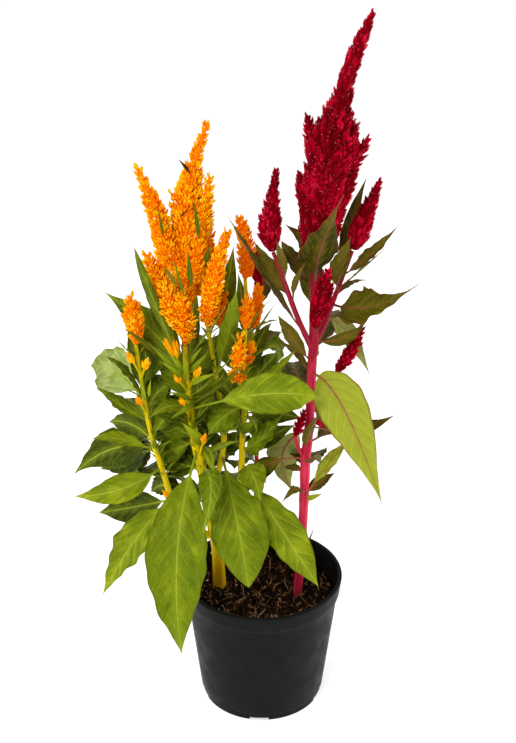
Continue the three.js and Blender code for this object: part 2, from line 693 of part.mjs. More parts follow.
/**
 * A plume: a core along an axis whose surface stands out in florets. Every second point of a
 * staggered net is a floret's tip, out and up, and the points between are its roots.
 */
function plumeCore(path, radii, sides, rings, random) {
  const curve = path.length > 2
    ? curveThrough(path)
    : new THREE.LineCurve3(vector(path[0]), vector(path[1]));
  const length = curve.getLength();
  const frames = framesAlong(curve, rings);
  const bands = frames.slice(0, -1).map((frame, i) => {
    const radius = along(radii, i / rings);
    const spacing = Math.min((2 * Math.PI * radius) / sides + 2, length / rings + 3);
    return Array.from({ length: sides }, (_, j) => {
      const isTip = (i + j) % 2 === 0 && i > 0;
      const size = spacing * (0.75 + 0.5 * random());
      const height = isTip ? size * SPIKE.out : -size * SPIKE.sink;
      const point = aroundFrame(frame, (2 * Math.PI * j) / sides, radius + height);
      return point.addScaledVector(frame.tangent, isTip ? size * SPIKE.lift : 0);
    });
  });
  return loft(frames[0].point, bands, frames[rings].point, (i, j) => (i + j) % 2 === 0);
}

const CONE_PROFILE = [0.55, 0.9, 1, 0.8, 0.5, 0.2];

/** A small plume that swells and then tapers to its tip. */
const coneOfFlorets = (path, radius, sides, rings, random = randomSource(3)) =>
  plumeCore(path, CONE_PROFILE.map((share) => share * radius), sides, rings, random);

/** Lobes that lean out of a plume's core all round it, by the golden angle. */
function lobesOn(plume, random) {
  const frames = framesAlong(curveThrough(plume.path), plume.lobes * 2);
  return Array.from({ length: plume.lobes }, (_, k) => {
    const place = lerp(LOBE.lowest, plume.lobesTo, k / (plume.lobes - 1));
    const frame = frames[Math.round(place * plume.lobes * 2)];
    const radius = along(plume.radii, place);
    const angle = k * degrees(GOLDEN_ANGLE);
    const root = aroundFrame(frame, angle, radius * LOBE.root);
    const reach = LOBE.reach + LOBE.spread * ((k * GOLDEN_SHARE) % 1);
    const tip = aroundFrame(frame, angle, radius * reach);
    tip.addScaledVector(frame.tangent, radius * LOBE.rise + LOBE.lift);
    const girth = radius * LOBE.girth + LOBE.thick;
    return coneOfFlorets([root.toArray(), tip.toArray()], girth, 6, 4, random);
  });
}

/** A whole flower head: core, lobes by rule and named side plumes, fused. */
function plumeSolid(plume, random) {
  const parts = [plumeCore(plume.path, plume.radii, plume.sides, plume.rings, random)];
  if (plume.lobes) parts.push(...lobesOn(plume, random));
  for (const side of plume.sidePlumes ?? []) {
    parts.push(coneOfFlorets(side.path, side.radius, 6, 6, random));
  }
  return join(parts);
}

// ---------------------------------------------------------------- assembly

const celosia = new THREE.Group();
celosia.name = 'plume_celosia';

function addPiece(name, solid, material) {
  const mesh = new THREE.Mesh(geometryFrom(mainBody(solid)), material);
  mesh.name = name;
  celosia.add(mesh);
}

addPiece('pot', potSolid(), MATERIALS.pot);
addPiece('soil', soilSolid([STEMS.orangeMain, STEMS.redMain, STEMS.redBack]), MATERIALS.soil);

// All that grows from one root is one piece.
const PLANTS = [
  ['orange_foliage', ['orangeMain', 'orangeLeft', 'orangeRight', 'orangeInner']],
  ['red_foliage', ['redMain', 'redLeft', 'redRight']],
  ['red_foliage_back', ['redBack']],
];
for (const [name, stems] of PLANTS) {
  const material = name.startsWith('orange') ? MATERIALS.orangeLeaf : MATERIALS.redLeaf;
  addPiece(name, join(stems.map(leafyStem)), material);
}

const random = randomSource(21);
for (const [name, plume] of Object.entries(PLUMES)) {
  const material = name.startsWith('orange') ? MATERIALS.orangePlume : MATERIALS.redPlume;
  addPiece(name, plumeSolid(plume, random), material);
}

export default celosia;
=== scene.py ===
import math
from types import SimpleNamespace as Named

import bpy
import numpy as np
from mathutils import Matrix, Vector


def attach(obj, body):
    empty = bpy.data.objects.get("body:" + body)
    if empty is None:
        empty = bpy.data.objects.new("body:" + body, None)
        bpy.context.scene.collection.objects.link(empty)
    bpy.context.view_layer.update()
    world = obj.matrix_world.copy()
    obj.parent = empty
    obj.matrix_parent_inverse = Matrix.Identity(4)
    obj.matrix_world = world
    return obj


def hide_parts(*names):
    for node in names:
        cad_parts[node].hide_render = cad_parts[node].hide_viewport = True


# Plume celosia in a nursery pot: the looks. Each CAD node is replaced by a finer piece of the
# same plan. Sizes are in millimetres, and Piece.make turns them into Blender's metres.

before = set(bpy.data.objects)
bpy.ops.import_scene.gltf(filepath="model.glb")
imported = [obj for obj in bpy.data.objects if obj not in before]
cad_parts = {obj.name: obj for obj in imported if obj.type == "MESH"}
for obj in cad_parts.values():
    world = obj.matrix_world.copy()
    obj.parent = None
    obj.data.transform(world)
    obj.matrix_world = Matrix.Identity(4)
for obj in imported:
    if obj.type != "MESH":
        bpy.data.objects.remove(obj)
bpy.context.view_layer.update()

MM = 0.001
UP = np.array([0.0, 0.0, 1.0])
GOLDEN_ANGLE = math.radians(137.5)
GOLDEN_SHARE = 0.618
# Turned surfaces stop this short of their axis, so that no face has an edge of no length.
AXIS_GAP = 0.01

# ---------------------------------------------------------------- the plan, as in the CAD

# Lip is the height of the band below the rim, and lip_step how far it stands out. Below the
# height ledge the wall is ledge_step narrower. Foot is the foot ring's width, recess the height
# of the underside inside it, and pad the radius of the flat pad in its middle.
POT = Named(height=130, rim=75, base=57.5, wall=2.2, lip=17.5, lip_step=1.7, ledge=7.5,
            ledge_step=0.9, floor=8, recess=5, foot=6, pad=17, notches=5, notch_width=18,
            notch_height=3.2, notch_depth=16, notch_turn=-3, drains=5, drain_radius=4.5,
            drain_ring=34)

# The soil's surface: its height and low mounds are as in the CAD. Waves (how close they are,
# and their height in mm), roughness and crumbs are for the scene alone. Gap is what is left to
# the wall, sunk_edge what the outermost rings are lowered by, skirt the depth of the edge, and
# lumpy the unevenness of crumbs.
SOIL = Named(top=108, relief=2.6, gap=0.5, rings=64, segments=180,
             waves=((0.35, 0.9), (0.8, 0.6), (1.7, 0.4)), rough=0.35, sunk_edge=(3.0, 1.5, 0.5),
             skirt=12, lumpy=0.35)
# Crumbs: (count, size range, stretch, material, distance kept from the wall).
CRUMBS = [
    (1500, (1.2, 3.4), (1, 0.8, 0.7), "soil_peat", 2),
    (420, (2, 5.5), (1.5, 0.6, 0.35), "soil_bark", 3),
    (160, (5, 12), (1.6, 0.12, 0.12), "soil_bark", 6),
    (16, (1.2, 2.6), (1, 0.9, 0.8), "soil_perlite", 5),
]

LEAF = Named(root_half=1.1, cup=0.22, wave=0.1, waves=3, shape=2.2)
# What a leaf has where its extras don't say otherwise. Belly is the place of the widest part,
# petiole the share that is stalk, point the slimness of the tip, bow the place of the bend
# along the chord, roll a turn about the midrib in degrees, and tone a shift towards deep
# green, which is partly the leaf's own tone and partly painted shade on leaves that lie in
# shade and painted light on lit ones. A turned leaf shows its underside.
LEAF_DEFAULTS = dict(belly=0.42, petiole=0.12, point=1.2, bow=0.5, roll=0, tone=0, turned=False)
# A leaf's relief that is too fine for the CAD. Ripples run along its margin in its plane, and
# ruffles out of it, both as shares of the half width. Quilt is a share of the space between
# veins. Thick is in mm, and vein_gap, in mm too, sets how many pairs of veins a leaf has.
DETAIL = Named(ripple=0.02, ripples=7, ruffle=0.12, ruffles=6, quilt=0.075, thick=0.2,
               vein_gap=13, fewest_pairs=5, most_pairs=10, rib_least=0.4, rib_most=1.3,
               rib_per_mm=0.022)
# Rows and columns of a leaf's faces, by the width that it is over.
LEAF_GRIDS = ((26, (38, 12)), (12, (24, 8)), (6, (16, 6)), (0, (12, 4)))
# A leaf's tone deepens by inside from front to back, which are in mm of Y: partly the inner
# leaves' own deeper green and partly painted shade for the plants' shaded inside. It lightens with
# its width.
TONE = Named(middle=0.48, front=-60, back=40, inside=0.42, per_mm=0.004, range=0.1)
# How far along a stem a leaf's joint swells it, and by how much.
JOINT = Named(reach=0.012, swell=0.1)

# Stems: points from the root up, then the radius at even steps along them.
STEMS = {
    "orange_main": (
        [[-40, 12, 94], [-42, 5, 150], [-46, -2, 180], [-51, -3, 213], [-55, 0, 242],
         [-61, 4, 272], [-64, 6, 302], [-67, 8, 332], [-68, 8, 364]],
        [6.4, 5, 4.4, 4.1, 3.9, 3.6, 3.3, 2.9, 2.4]),
    "orange_left": (
        [[-49, -2, 172], [-66, -6, 188], [-82, 0, 210], [-91, 4, 240], [-98, 7, 264],
         [-103, 8, 290], [-107, 7, 326], [-111, 5, 368]], [3.2, 1.7]),
    "orange_right": (
        [[-45, 3, 148], [-34, 9, 175], [-22, 10, 205], [-19, 10, 240], [-18, 12, 268],
         [-16, 13, 300], [-15, 15, 330], [-13, 18, 372], [-15, 24, 422]], [3.4, 1.6]),
    "orange_inner": (
        [[-53, -4, 196], [-44, 12, 220], [-37, 18, 246], [-35, 20, 274], [-39, 24, 306],
         [-44, 22, 346], [-48, 8, 384]], [3, 1.6]),
    "red_main": (
        [[33, -1, 94], [35, -6, 140], [37, -8, 184], [38, -8, 216], [39, -6, 256],
         [42, -4, 290], [43, -2, 330], [44, 0, 369], [44, 5, 410], [44, 8, 446]],
        [4, 4, 4, 4, 4, 3.8, 3.6, 3.5, 3, 2.6]),
    "red_left": (
        [[44, 0, 364], [31, -8, 398], [23, -12, 422], [16, -14, 444], [9, -15, 464]], [2.5, 1.7]),
    "red_right": (
        [[44, 0, 368], [52, 2, 384], [60, 7, 405], [67, 11, 424], [77, 16, 452]], [2.6, 1.7]),
    "red_back": (
        [[-13, 30, 94], [-11, 36, 140], [-2, 44, 186], [-6, 58, 230], [-8, 64, 280], [-6, 60, 330],
         [-3, 50, 380], [-3, 46, 398]], [2.2, 1.5]),
}

# Plants: the stems that grow from one root are one piece.
PLANTS = {
    "orange_foliage": ["orange_main", "orange_left", "orange_right", "orange_inner"],
    "red_foliage": ["red_main", "red_left", "red_right"],
    "red_foliage_back": ["red_back"],
}

# Leaves: (place along the stem, tip, width, arch, sideways swing, extras).
LEAVES = {
    "orange_main": [
        (0.58, (-72, -100, 111), 54, 32, -6, dict(belly=0.5, tone=0.2)),
        (0.5, (-52, -78, 223), 22, 20, 8, dict(roll=15, tone=0.25)),
        (0.88, (-105, -48, 485), 9, 1, -4, dict(roll=50, bow=0.81, tone=0.3, turned=True)),
        (0.9, (-143, 44, 402), 32, 5, -2, dict(roll=-50, point=1.5)),
        (0.86, (-120, -24, 399), 11, 1, -8, dict(roll=-30)),
        (0.9, (-98, -16, 379), 6, 1, -3, {}),
        (0.94, (-31, -34, 423), 9, -1, -1, dict(roll=30)),
        (0.8, (-27, -28, 372), 12, -3, -2, dict(roll=30)),
        (0.77, (-15, -12, 358), 8, -3, 1, dict(roll=30)),
        (0.7, (-46, -10, 318), 11, -2, -1, dict(roll=20)),
        (0.75, (-98, -32, 315), 15, 6, -2, dict(roll=-30)),
        (0.59, (-72, -26, 307), 11, 4, 1, dict(turned=True)),
        (0.56, (-21, -38, 295), 11, 0, 1, dict(roll=30)),
        (0.6, (-45, -36, 264), 9, 5, 6, {}),
        (0.95, (-108, 60, 420), 12, 14, 14, {}),
        (0.41, (-69, 20, 179), 22, 4, -2, dict(turned=True)),
        (0.78, (-99, 24, 351), 24, 2, -4, dict(roll=-45)),
        (0.62, (-98, 22, 272), 26, 8, 0, dict(roll=-30)),
        (0.66, (-34, 4, 338), 24, 4, 0, dict(roll=30)),
        (0.48, (-84, 54, 228), 28, 10, 0, dict(roll=-20)),
        (0.35, (-90, 85, 150), 34, 16, 6, {}),
        (0.45, (-45, 105, 190), 36, 18, -6, {}),
        (0.55, (-85, 95, 250), 34, 12, 6, {}),
        (0.65, (-58, 92, 300), 26, 8, 0, {}),
        (0.75, (-92, 72, 350), 20, 6, 4, {}),
        (0.85, (-60, 75, 400), 16, 4, 0, {}),
        (0.75, (47, -40, 339), 36, 16, -18,
         dict(roll=60, petiole=0.2, belly=0.5, point=1, bow=0.85, tone=0.12)),
        (0.66, (-103, 45, 292), 30, 6, 0, dict(roll=-20)),
        (0.5, (-108, 50, 214), 34, 8, 4, dict(roll=-15)),
        (0.82, (-33, 42, 363), 22, 4, 2, dict(roll=25)),
        (0.7, (-22, 48, 290), 28, 8, -3, dict(roll=20)),
    ],
    "orange_left": [
        (0.3, (-146, -50, 138), 36, 10, 3, dict(roll=-10)),
        (0.44, (-172, -14, 223), 25, 1, 15, dict(roll=-50, belly=0.5, point=1.5, tone=-0.3)),
        (0.55, (-180, 45, 207), 36, 11, -8, dict(roll=-75, point=1.5, tone=0.3)),
        (0.54, (-152, -20, 286), 15, 1, -10, dict(roll=-30, petiole=0.15, tone=-0.3)),
        (0.71, (-147, 0, 329), 16, -3, -2, dict(roll=-30)),
        (0.79, (-138, -10, 364), 13, 5, -6, dict(roll=-30)),
        (0.95, (-126, -5, 378), 6, -1, -3, {}),
        (0.8, (-158, 60, 317), 44, 2, -9,
         dict(roll=-50, belly=0.5, bow=0.85, tone=-0.4, turned=True)),
        (0.29, (-155, 30, 177), 30, -3, -5, dict(roll=-65, bow=0.67, tone=0.4)),
        (0.26, (-113, 25, 139), 28, 4, -5, {}),
        (0.35, (-118, 85, 180), 34, 16, 4, {}),
        (0.55, (-132, 90, 268), 28, 10, -4, {}),
        (0.8, (-122, 62, 372), 16, 4, 0, {}),
        (0.62, (-64, 45, 298), 26, 8, -3, dict(roll=25)),
        (0.5, (-60, 45, 224), 30, 10, 0, dict(roll=20)),
        (0.4, (-59, 38, 181), 28, 8, 0, dict(roll=20)),
        (0.85, (-77, 38, 357), 20, 4, 2, dict(roll=20)),
        (0.6, (-134, 55, 225), 30, 8, 0, dict(roll=-30)),
    ],
    "orange_right": [
        (0.36, (50, -75, 166), 35, 10, -6, dict(roll=20, bow=0.77)),
        (0.63, (-49, 0, 278), 34, 8, 4, dict(roll=-25)),
        (0.68, (18, 48, 340), 22, 4, 0, dict(roll=30)),
        (0.45, (19, 0, 302), 28, -3, -9, dict(roll=35)),
        (0.59, (-5, -30, 299), 8, 4, 2, {}),
        (0.38, (-2, -38, 232), 26, 8, 2, dict(roll=20)),
        (0.69, (33, 4, 368), 13, -3, -4, dict(roll=30)),
        (0.8, (7, 10, 330), 26, 22, 14, {}),
        (0.86, (9, 12, 410), 6, 4, -3, {}),
        (0.84, (12, 20, 402), 6, 1, -3, {}),
        (0.87, (15, 0, 394), 8, 3, 1, {}),
        (0.81, (-29, -15, 392), 6, 0, -1, dict(turned=True)),
        (0.52, (14, 24, 268), 28, 8, -6, dict(roll=30)),
        (0.3, (-24, 98, 150), 34, 18, 6, {}),
        (0.5, (-36, 98, 236), 28, 14, 0, {}),
        (0.72, (-30, 88, 335), 18, 8, 0, {}),
        (0.84, (-22, 70, 408), 12, 4, 0, {}),
        (0.42, (4, 36, 203), 26, 8, 4, dict(roll=20)),
        (0.35, (-26, 45, 215), 28, 10, 0, {}),
        (0.75, (-43, 50, 344), 18, 4, 0, dict(roll=-20)),
    ],
    "orange_inner": [
        (0.34, (-12, -85, 172), 52, 12, -1, dict(belly=0.56, point=1, tone=0.3)),
        (0.95, (-25, 25, 454), 18, -2, -4, dict(roll=55)),
        (0.76, (-22, -34, 441), 17, 2, 4, dict(turned=True)),
        (0.84, (-28, -32, 428), 7, 2, 4, dict(turned=True)),
        (0.9, (-32, 60, 440), 14, 12, 4, {}),
        (0.46, (-24, -30, 300), 20, 4, 2, dict(roll=25)),
        (0.5, (-62, 100, 250), 30, 14, 0, {}),
        (0.7, (-64, 96, 335), 22, 8, 0, {}),
        (0.5, (0, 52, 295), 26, 8, 2, dict(roll=25)),
        (0.45, (-55, 52, 267), 26, 8, 0, {}),
        (0.3, (-30, 50, 245), 28, 8, 0, dict(roll=15)),
        (0.62, (-69, 45, 362), 20, 4, 0, dict(roll=-20)),
    ],
    "red_main": [
        (0.94, (65, -52, 532), 34, -1, -5, dict(belly=0.34, point=1.7, tone=0.35, turned=True)),
        (0.93, (18, 24, 474), 16, 4, -10, dict(roll=-25)),
        (0.92, (16, 40, 452), 20, 8, 7, {}),
        (0.73, (13, -16, 407), 13, -2, 3, dict(roll=-80, bow=0.76)),
        (0.7, (107, -40, 230), 43, 20, -9,
         dict(roll=50, belly=0.44, point=1.2, bow=0.04, tone=-0.7)),
        (0.56, (121, 20, 289), 16, -10, -2, dict(roll=30, petiole=0.2)),
        (0.79, (89, -6, 396), 11, -6, -6, dict(roll=60, bow=0.65)),
        (0.48, (51, -30, 320), 11, -1, -5, dict(turned=True)),
        (0.44, (50, -28, 278), 10, -3, -2, dict(turned=True)),
        (0.33, (76, -10, 278), 14, 6, -12, dict(roll=40, belly=0.55, petiole=0.35, tone=-0.4)),
        (0.35, (67, 6, 236), 12, 0, 1, dict(roll=30)),
        (0.34, (17, -26, 223), 12, 12, 3, {}),
        (0.45, (-18, 4, 208), 18, 14, -2, dict(roll=-65, petiole=0.3, bow=0.44)),
        (0.55, (28, 44, 193), 30, 16, 11, dict(roll=20, belly=0.5, bow=0.65, tone=-0.9)),
        (0.41, (20, 10, 240), 12, 3, 3, {}),
        (0.68, (9, 28, 360), 9, 10, 0, {}),
        (0.66, (52, 34, 262), 14, 4, -4, {}),
        (0.4, (58, 95, 190), 34, 16, 6, {}),
        (0.5, (98, 70, 240), 28, 12, -4, {}),
        (0.62, (30, 100, 300), 30, 12, 6, {}),
        (0.75, (72, 92, 360), 26, 8, 0, {}),
        (0.85, (42, 88, 430), 22, 4, 0, {}),
    ],
    "red_left": [
        (0.13, (-29, -34, 506), 15, -1, -7, dict(roll=-30, tone=0.3)),
        (0.46, (-8, 4, 467), 15, 0, 1, dict(roll=-30)),
        (0.61, (11, -34, 484), 9, 2, 0, dict(petiole=0.2, turned=True)),
        (0.41, (36, -26, 460), 8, 3, -1, dict(petiole=0.2, turned=True)),
    ],
    "red_right": [
        (0.51, (134, -15, 437), 34, -6, -14, dict(roll=30, belly=0.36, point=1.8)),
        (0.82, (115, 4, 481), 14, -1, -8, dict(roll=30)),
        (0.7, (103, -4, 463), 8, -1, 1, {}),
        (0.78, (91, 60, 504), 14, -6, 6, {}),
        (0.89, (85, 44, 482), 9, -10, 6, {}),
        (0.65, (74, -14, 478), 18, 2, -2, dict(turned=True)),
        (0.35, (97, 22, 327), 18, 8, 5,
         dict(roll=80, petiole=0.15, bow=0.18, tone=-0.3, turned=True)),
        (0.58, (93, 30, 418), 8, 5, 1, {}),
    ],
    "red_back": [
        (0.5, (22, 108, 238), 26, 12, 0, {}),
        (0.7, (20, 95, 335), 18, 8, 0, {}),
        (0.85, (8, 88, 405), 14, 4, 0, {}),
    ],
}

# Small leaves that fill the gaps inside the plants, laid out like the leaves. Most carry a deeper
# tone, painted shade for where they lie inside the plants.
SMALL_LEAVES = {
    "orange_main": [
        (0.5, (-94, 20, 230), 24, 2, -7, dict(roll=-55, bow=0.7)),
        (0.62, (-103, 22, 250), 24, -6, -5, dict(roll=-55, bow=0.8)),
        (0.55, (-52, 50, 261), 24, 4, -1, dict(roll=10, bow=0.7, tone=0.4)),
    ],
    "orange_left": [
        (0.75, (-80, 22, 319), 20, 4, 3, dict(roll=45, bow=0.65)),
        (0.6, (-78, 34, 258), 22, 0, 5, dict(roll=50, bow=0.7)),
        (0.6, (-130, 60, 214), 30, 0, -6, dict(roll=-85, bow=0.63, tone=0.4)),
        (0.35, (-75, 30, 207), 26, 0, 8, dict(roll=80, bow=0.69, tone=0.4)),
        (0.7, (-90, 40, 318), 28, 8, 0, dict(roll=25, bow=0.84, tone=0.4)),
        (0.8, (-102, 40, 364), 22, 8, 0, dict(roll=10, bow=0.91, tone=0.4)),
        (0.55, (-154, 60, 206), 32, 2, -6, dict(roll=-85, bow=0.74, tone=0.4)),
        (0.6, (-143, 50, 264), 24, 7, -1, dict(roll=-55, tone=0.3)),
        (0.35, (-104, 20, 206), 18, 3, 0, dict(roll=-85, bow=0.26, tone=0.4)),
    ],
    "orange_right": [
        (0.62, (-49, 34, 339), 18, -3, 1, dict(roll=-40, bow=0.9)),
        (0.45, (-21, 50, 255), 26, -2, 4, dict(bow=0.7, tone=0.4)),
        (0.6, (37, 10, 289), 24, 3, 3, dict(roll=60, bow=0.43, tone=0.4)),
        (0.45, (31, 14, 282), 18, 0, 1, dict(roll=60, tone=0.4)),
        (0.7, (9, 30, 377), 14, 3, 4, dict(roll=50, bow=0.77, tone=0.3)),
        (0.7, (-24, 50, 317), 24, -2, 2, dict(roll=-20, bow=0.63, tone=0.4)),
        (0.8, (-24, 50, 364), 18, 0, 0, dict(roll=-15, bow=0.68, tone=0.4)),
    ],
    "orange_inner": [(0.5, (-61, 26, 274), 18, 6, -2, dict(roll=-50, bow=0.8))],
    "red_main": [(0.8, (51, 14, 356), 12, -6, 0, dict(roll=60, tone=0.2))],
}

# Bracts, narrow leaves with no stalk: (root, tip, width, tone), and a material if not green.
BRACTS = {
    "orange_plume_main": [
        ([-60, -2, 530], [-70, -3, 543], 3, 0, "dry_leaf"),
        ([-66, -26, 428], [-75, -28, 467], 2.7, 0.9),
        ([-60, -25, 438], [-62, -27, 472], 4.5, 1.1),
        ([-50, -10, 448], [-43, -15, 472], 5.2, 1.6),
        ([-83, -10, 476], [-87, -15, 506], 2.2, 1.1),
        ([-53, -14, 476], [-57, -13, 513], 3.4, 1.3),
        ([-95, -8, 433], [-106, -9, 456], 3.8, 1.6),
        ([-72, -26, 438], [-84, -29, 460], 3, 0.8),
        ([-68, -20, 498], [-60, -19, 506], 1.6, 0, "dry_leaf")],
    "orange_foliage": [
        ([-104, 4, 312], [-109, -4, 343], 3.4, -0.3),
        ([-101, 4, 316], [-98, -4, 339], 3, -0.3),
        ([-55, -3, 272], [-71, -22, 304], 10, 0.1),
        ([-52, -3, 266], [-42, -20, 250], 7, 0.1),
        ([-70, 2, 334], [-97, -20, 380], 6, 0.4),
        ([-71, 2, 336], [-90, -22, 366], 4, 0.2),
        ([-70, 0, 341], [-83, -18, 374], 4, 0.3),
        ([-67, 0, 337], [-69, -12, 371], 3.6, 0.2),
        ([-63, 2, 350], [-51, -14, 376], 3.6, 0.4),
        ([-63, 2, 341], [-47, -14, 369], 4.5, 0.5),
        ([-63, 2, 329], [-38, -18, 352], 5, 0.3),
        ([-64, 2, 314], [-84, -18, 333], 5, 0.5),
        ([-61, 2, 309], [-82, -18, 305], 5, 0.4),
        ([-24, 10, 310], [35, -30, 327], 13, 0.9),
        ([-19, 10, 276], [-2, -6, 300], 8, 0.5)],
    "red_foliage": [
        ([38, -10, 216], [55, -10, 223], 5, 0.1),
        ([36, -6, 148], [49, -10, 190], 2.2, 0, "dry_leaf"),
        ([36, -8, 166], [46, -14, 146], 2, 0, "dry_leaf"),
        ([36, -8, 192], [20, -12, 199], 2.4, 0.8)],
}
# How a bract is bent, shaped and folded. Its thick and vein_gap are in mm.
BRACT = Named(arch=0.24, belly=0.42, point=1.1, foot=0.25, fold=0.4, thick=0.15, vein_gap=8)
# Sprays of bracts at the joints of these stems, from a place upwards.
SPRAYS = {"orange_main": 0.45, "orange_left": 0.4, "orange_right": 0.5, "orange_inner": 0.5}
SPRAY = Named(count=3, shortest=9, longest=24, width=0.17, flattest=35, steepest=70)

# Buds in the leaf joints: (place along the stem, tip, radius).
BUDS = {
    "orange_main": [
        (0.83, (-53, -12, 356), 3.4), (0.82, (-78, -10, 347), 3), (0.55, (-50, -18, 292), 3),
        (0.87, (-85, -6, 388), 6), (0.7, (-73, -12, 326), 2.6)],
    "orange_left": [
        (0.9, (-119, -6, 368), 3.4), (0.88, (-99, -4, 362), 3.4), (0.74, (-112, -6, 324), 3),
        (0.27, (-92, -10, 228), 2.6)],
    "orange_right": [(0.76, (-25, -4, 373), 4), (0.8, (-8, 6, 371), 3)],
    "red_main": [(0.58, (56, -10, 292), 3)],
}

# A bud's florets. Its height is at most a share of its length and a multiple of its radius.
# Rows, core, length and width are shares of its height or radius. Spread leans the florets
# out at its foot, stray turns them at random, and shape is as floret_shape takes it. Stalk
# is the stalk's radius in mm, and stalk_taper what it loses on the way up.
BUD = Named(florets=26, most_of_length=0.85, most_of_radius=5.5, rows=0.5, core=0.42,
            spread=0.42, stray=0.06, length=0.46, width=0.34, stalk=1.4, stalk_taper=0.3,
            shape=(6, [(0.0, 0.6), (0.25, 0.95), (0.5, 0.9), (0.78, 0.5)], 0.12))

# Small tufts of florets in the leaf joints: (axis, radius, redness).
TUFTS = {
    "orange_foliage": [
        ([[-22, 2, 344], [-21, -4, 360], [-19, -3, 380]], 5.5, 0.1),
        ([[-17, 10, 330], [-23, 0, 338], [-27, -5, 348]], 3.5, 0.2),
        ([[-36, 14, 378], [-35, 12, 394], [-33, 12, 412]], 4.5, 0.4),
        ([[-16, 13, 344], [-11, 8, 356], [-9, 6, 368]], 3, 0.2)],
}

# Thin shoots that carry a small plume of their own.
SHOOTS = {
    "orange_right": [
        [[-14, 16, 350], [-10, 22, 362], [-9, 26, 372]],
        [[-14, 16, 354], [-15, 6, 370], [-15, 1, 384]]],
    "red_main": [
        [[43, -1, 318], [56, 4, 322], [65, 5, 339]],
        [[39, -6, 256], [32, -10, 272], [29, -12, 285]],
        [[43, -1, 352], [47, -10, 370], [46, -14, 393]]],
}
SHOOT_RADII = (2, 1.5)

# Plumes: (axis, radius at even steps along it).
PLUMES = {
    "orange_plume_main": (
        [[-68, 8, 366], [-69, 8, 406], [-68, 8, 443], [-64, 8, 482], [-59, 7, 526],
         [-46, 4, 571]],
        [2.6, 4, 6, 8.5, 10.5, 11.5, 12.5, 12.5, 12.5, 12, 10, 7.5, 3.6, 3, 1.2]),
    "orange_plume_inner": (
        [[-48, 6, 386], [-45, -12, 418], [-40, -18, 446], [-30, -18, 484]],
        [3, 6, 7, 7, 6, 4, 2]),
    "orange_plume_left": (
        [[-111, 5, 369], [-112, 4, 390], [-114, 2, 415]], [3.5, 6, 7, 6.5, 4.5, 1.5]),
    "orange_plume_right": (
        [[-15, 24, 423], [-14, 26, 449], [-19, 28, 477]], [3, 6, 6, 5, 4, 2]),
    "orange_plume_low_right": (
        [[-9, 26, 373], [-6, 30, 392], [-3, 31, 410]], [3, 5, 5, 4, 3, 1.5]),
    "orange_plume_low_small": (
        [[-15, 1, 385], [-14, 0, 400], [-13, 0, 415]], [2, 4, 5, 4, 3, 1.5]),
    "red_plume_main": (
        [[45, 8, 449], [50, 8, 492], [57, 6, 537], [62, 4, 582], [72, 0, 624], [87, -4, 666]],
        [11, 19.5, 22.5, 23.5, 24, 19, 9.5, 7, 7, 5.5, 1.5]),
    "red_plume_left": (
        [[8, -15, 466], [6, -14, 489], [11, -12, 537]], [4, 9, 10, 10, 7, 4, 2]),
    "red_plume_right": (
        [[78, 16, 454], [85, 18, 475], [99, 20, 515]], [4, 9, 10, 9, 7, 4, 2]),
    "red_plume_front": (
        [[45, -14, 395], [50, -18, 422], [55, -20, 450]], [4, 8, 9, 8, 6, 2]),
    "red_plume_low_right": (
        [[66, 5, 341], [77, 1, 362], [86, 0, 385]], [3, 6, 6, 5, 4, 2]),
    "red_plume_low_left": (
        [[29, -12, 286], [33, -14, 298], [37, -14, 311]], [2, 4, 4, 3, 1.5]),
    "red_plume_back": (
        [[-3, 46, 400], [-4, 48, 419], [-5, 48, 440]], [2, 5, 5, 4, 2]),
}

# Side plumes: (axis, greatest radius), with the cone's share of it at even steps.
CONE = [0.55, 0.9, 1, 0.8, 0.5, 0.2]
SIDE_PLUMES = {
    "orange_plume_main": [
        ([[-75, 0, 445], [-88, -4, 492], [-103, -6, 536]], 7.5),
        ([[-58, 2, 455], [-50, 0, 490], [-44, 0, 526]], 6.5),
        ([[-74, -4, 408], [-87, -10, 434], [-97, -14, 461]], 9),
        ([[-60, -2, 430], [-55, -10, 456], [-52, -12, 483]], 7),
        ([[-69, -2, 386], [-78, -12, 412], [-85, -16, 438]], 9),
        ([[-65, 2, 376], [-68, -12, 402], [-69, -18, 427]], 8),
        ([[-72, 14, 420], [-84, 26, 450], [-92, 32, 482]], 9),
        ([[-57, 16, 410], [-50, 28, 438], [-46, 34, 466]], 8),
        ([[-66, 16, 450], [-66, 30, 478], [-64, 36, 510]], 8),
    ],
}

# Lobes of a plume. Lengths are shares of the plume's radius, but lift and thick are in mm.
LOBE = Named(lowest=0.06, root=0.4, reach=1.05, spread=0.2, rise=1.3, lift=10, girth=0.3,
             thick=1)
# How many lobes the main plumes have, and the place of the highest.
LOBES = {"orange_plume_main": (5, 0.6), "red_plume_main": (11, 0.38)}

# How ruddy some plumes are, and how bright the main part of a plume is beside its lobes.
REDNESS = {"orange_plume_right": 0.45, "orange_plume_low_right": 0.4,
           "orange_plume_low_small": 0.4, "orange_plume_inner": 0.12}
MAIN_GLOW = 0.4
# Florets of one plume are left out in this inner share of another's radius.
INNER_PART = 0.72

# A plume's florets sit on spikelets that lean out of its core. Lean is in degrees, and base,
# spacing, thick, length and half_width are in mm. A spikelet is base long, and longer by a
# share of the plume's radius, with per_mm florets to a millimetre. Root, core and inner are
# shares of that radius. Flare leans florets off their spikelet, from its root to its tip, and
# stray turns them at random. Rings, sides and bend are as floret_shape takes them.
STYLES = {
    "orange": Named(lean=33, share=0.1, base=3.4, root=0.6, core=0.8, spacing=6.7, thick=1.8,
                    per_mm=1.7, length=8.4, half_width=1.45, inner=0.6, stray=0.07,
                    flare=(0.65, 0.1), rings=[(0.0, 0.6), (0.35, 1.0), (0.75, 0.8)], sides=5,
                    bend=0.2),
    "red": Named(lean=26, share=0.45, base=3.2, root=0.62, core=0.78, spacing=5.4, thick=1.7,
                 per_mm=4.6, length=1.8, half_width=0.75, inner=0.6, stray=0.22,
                 flare=(1.2, 0.4), rings=[(0.0, 1.0)], sides=3, bend=0.2),
}
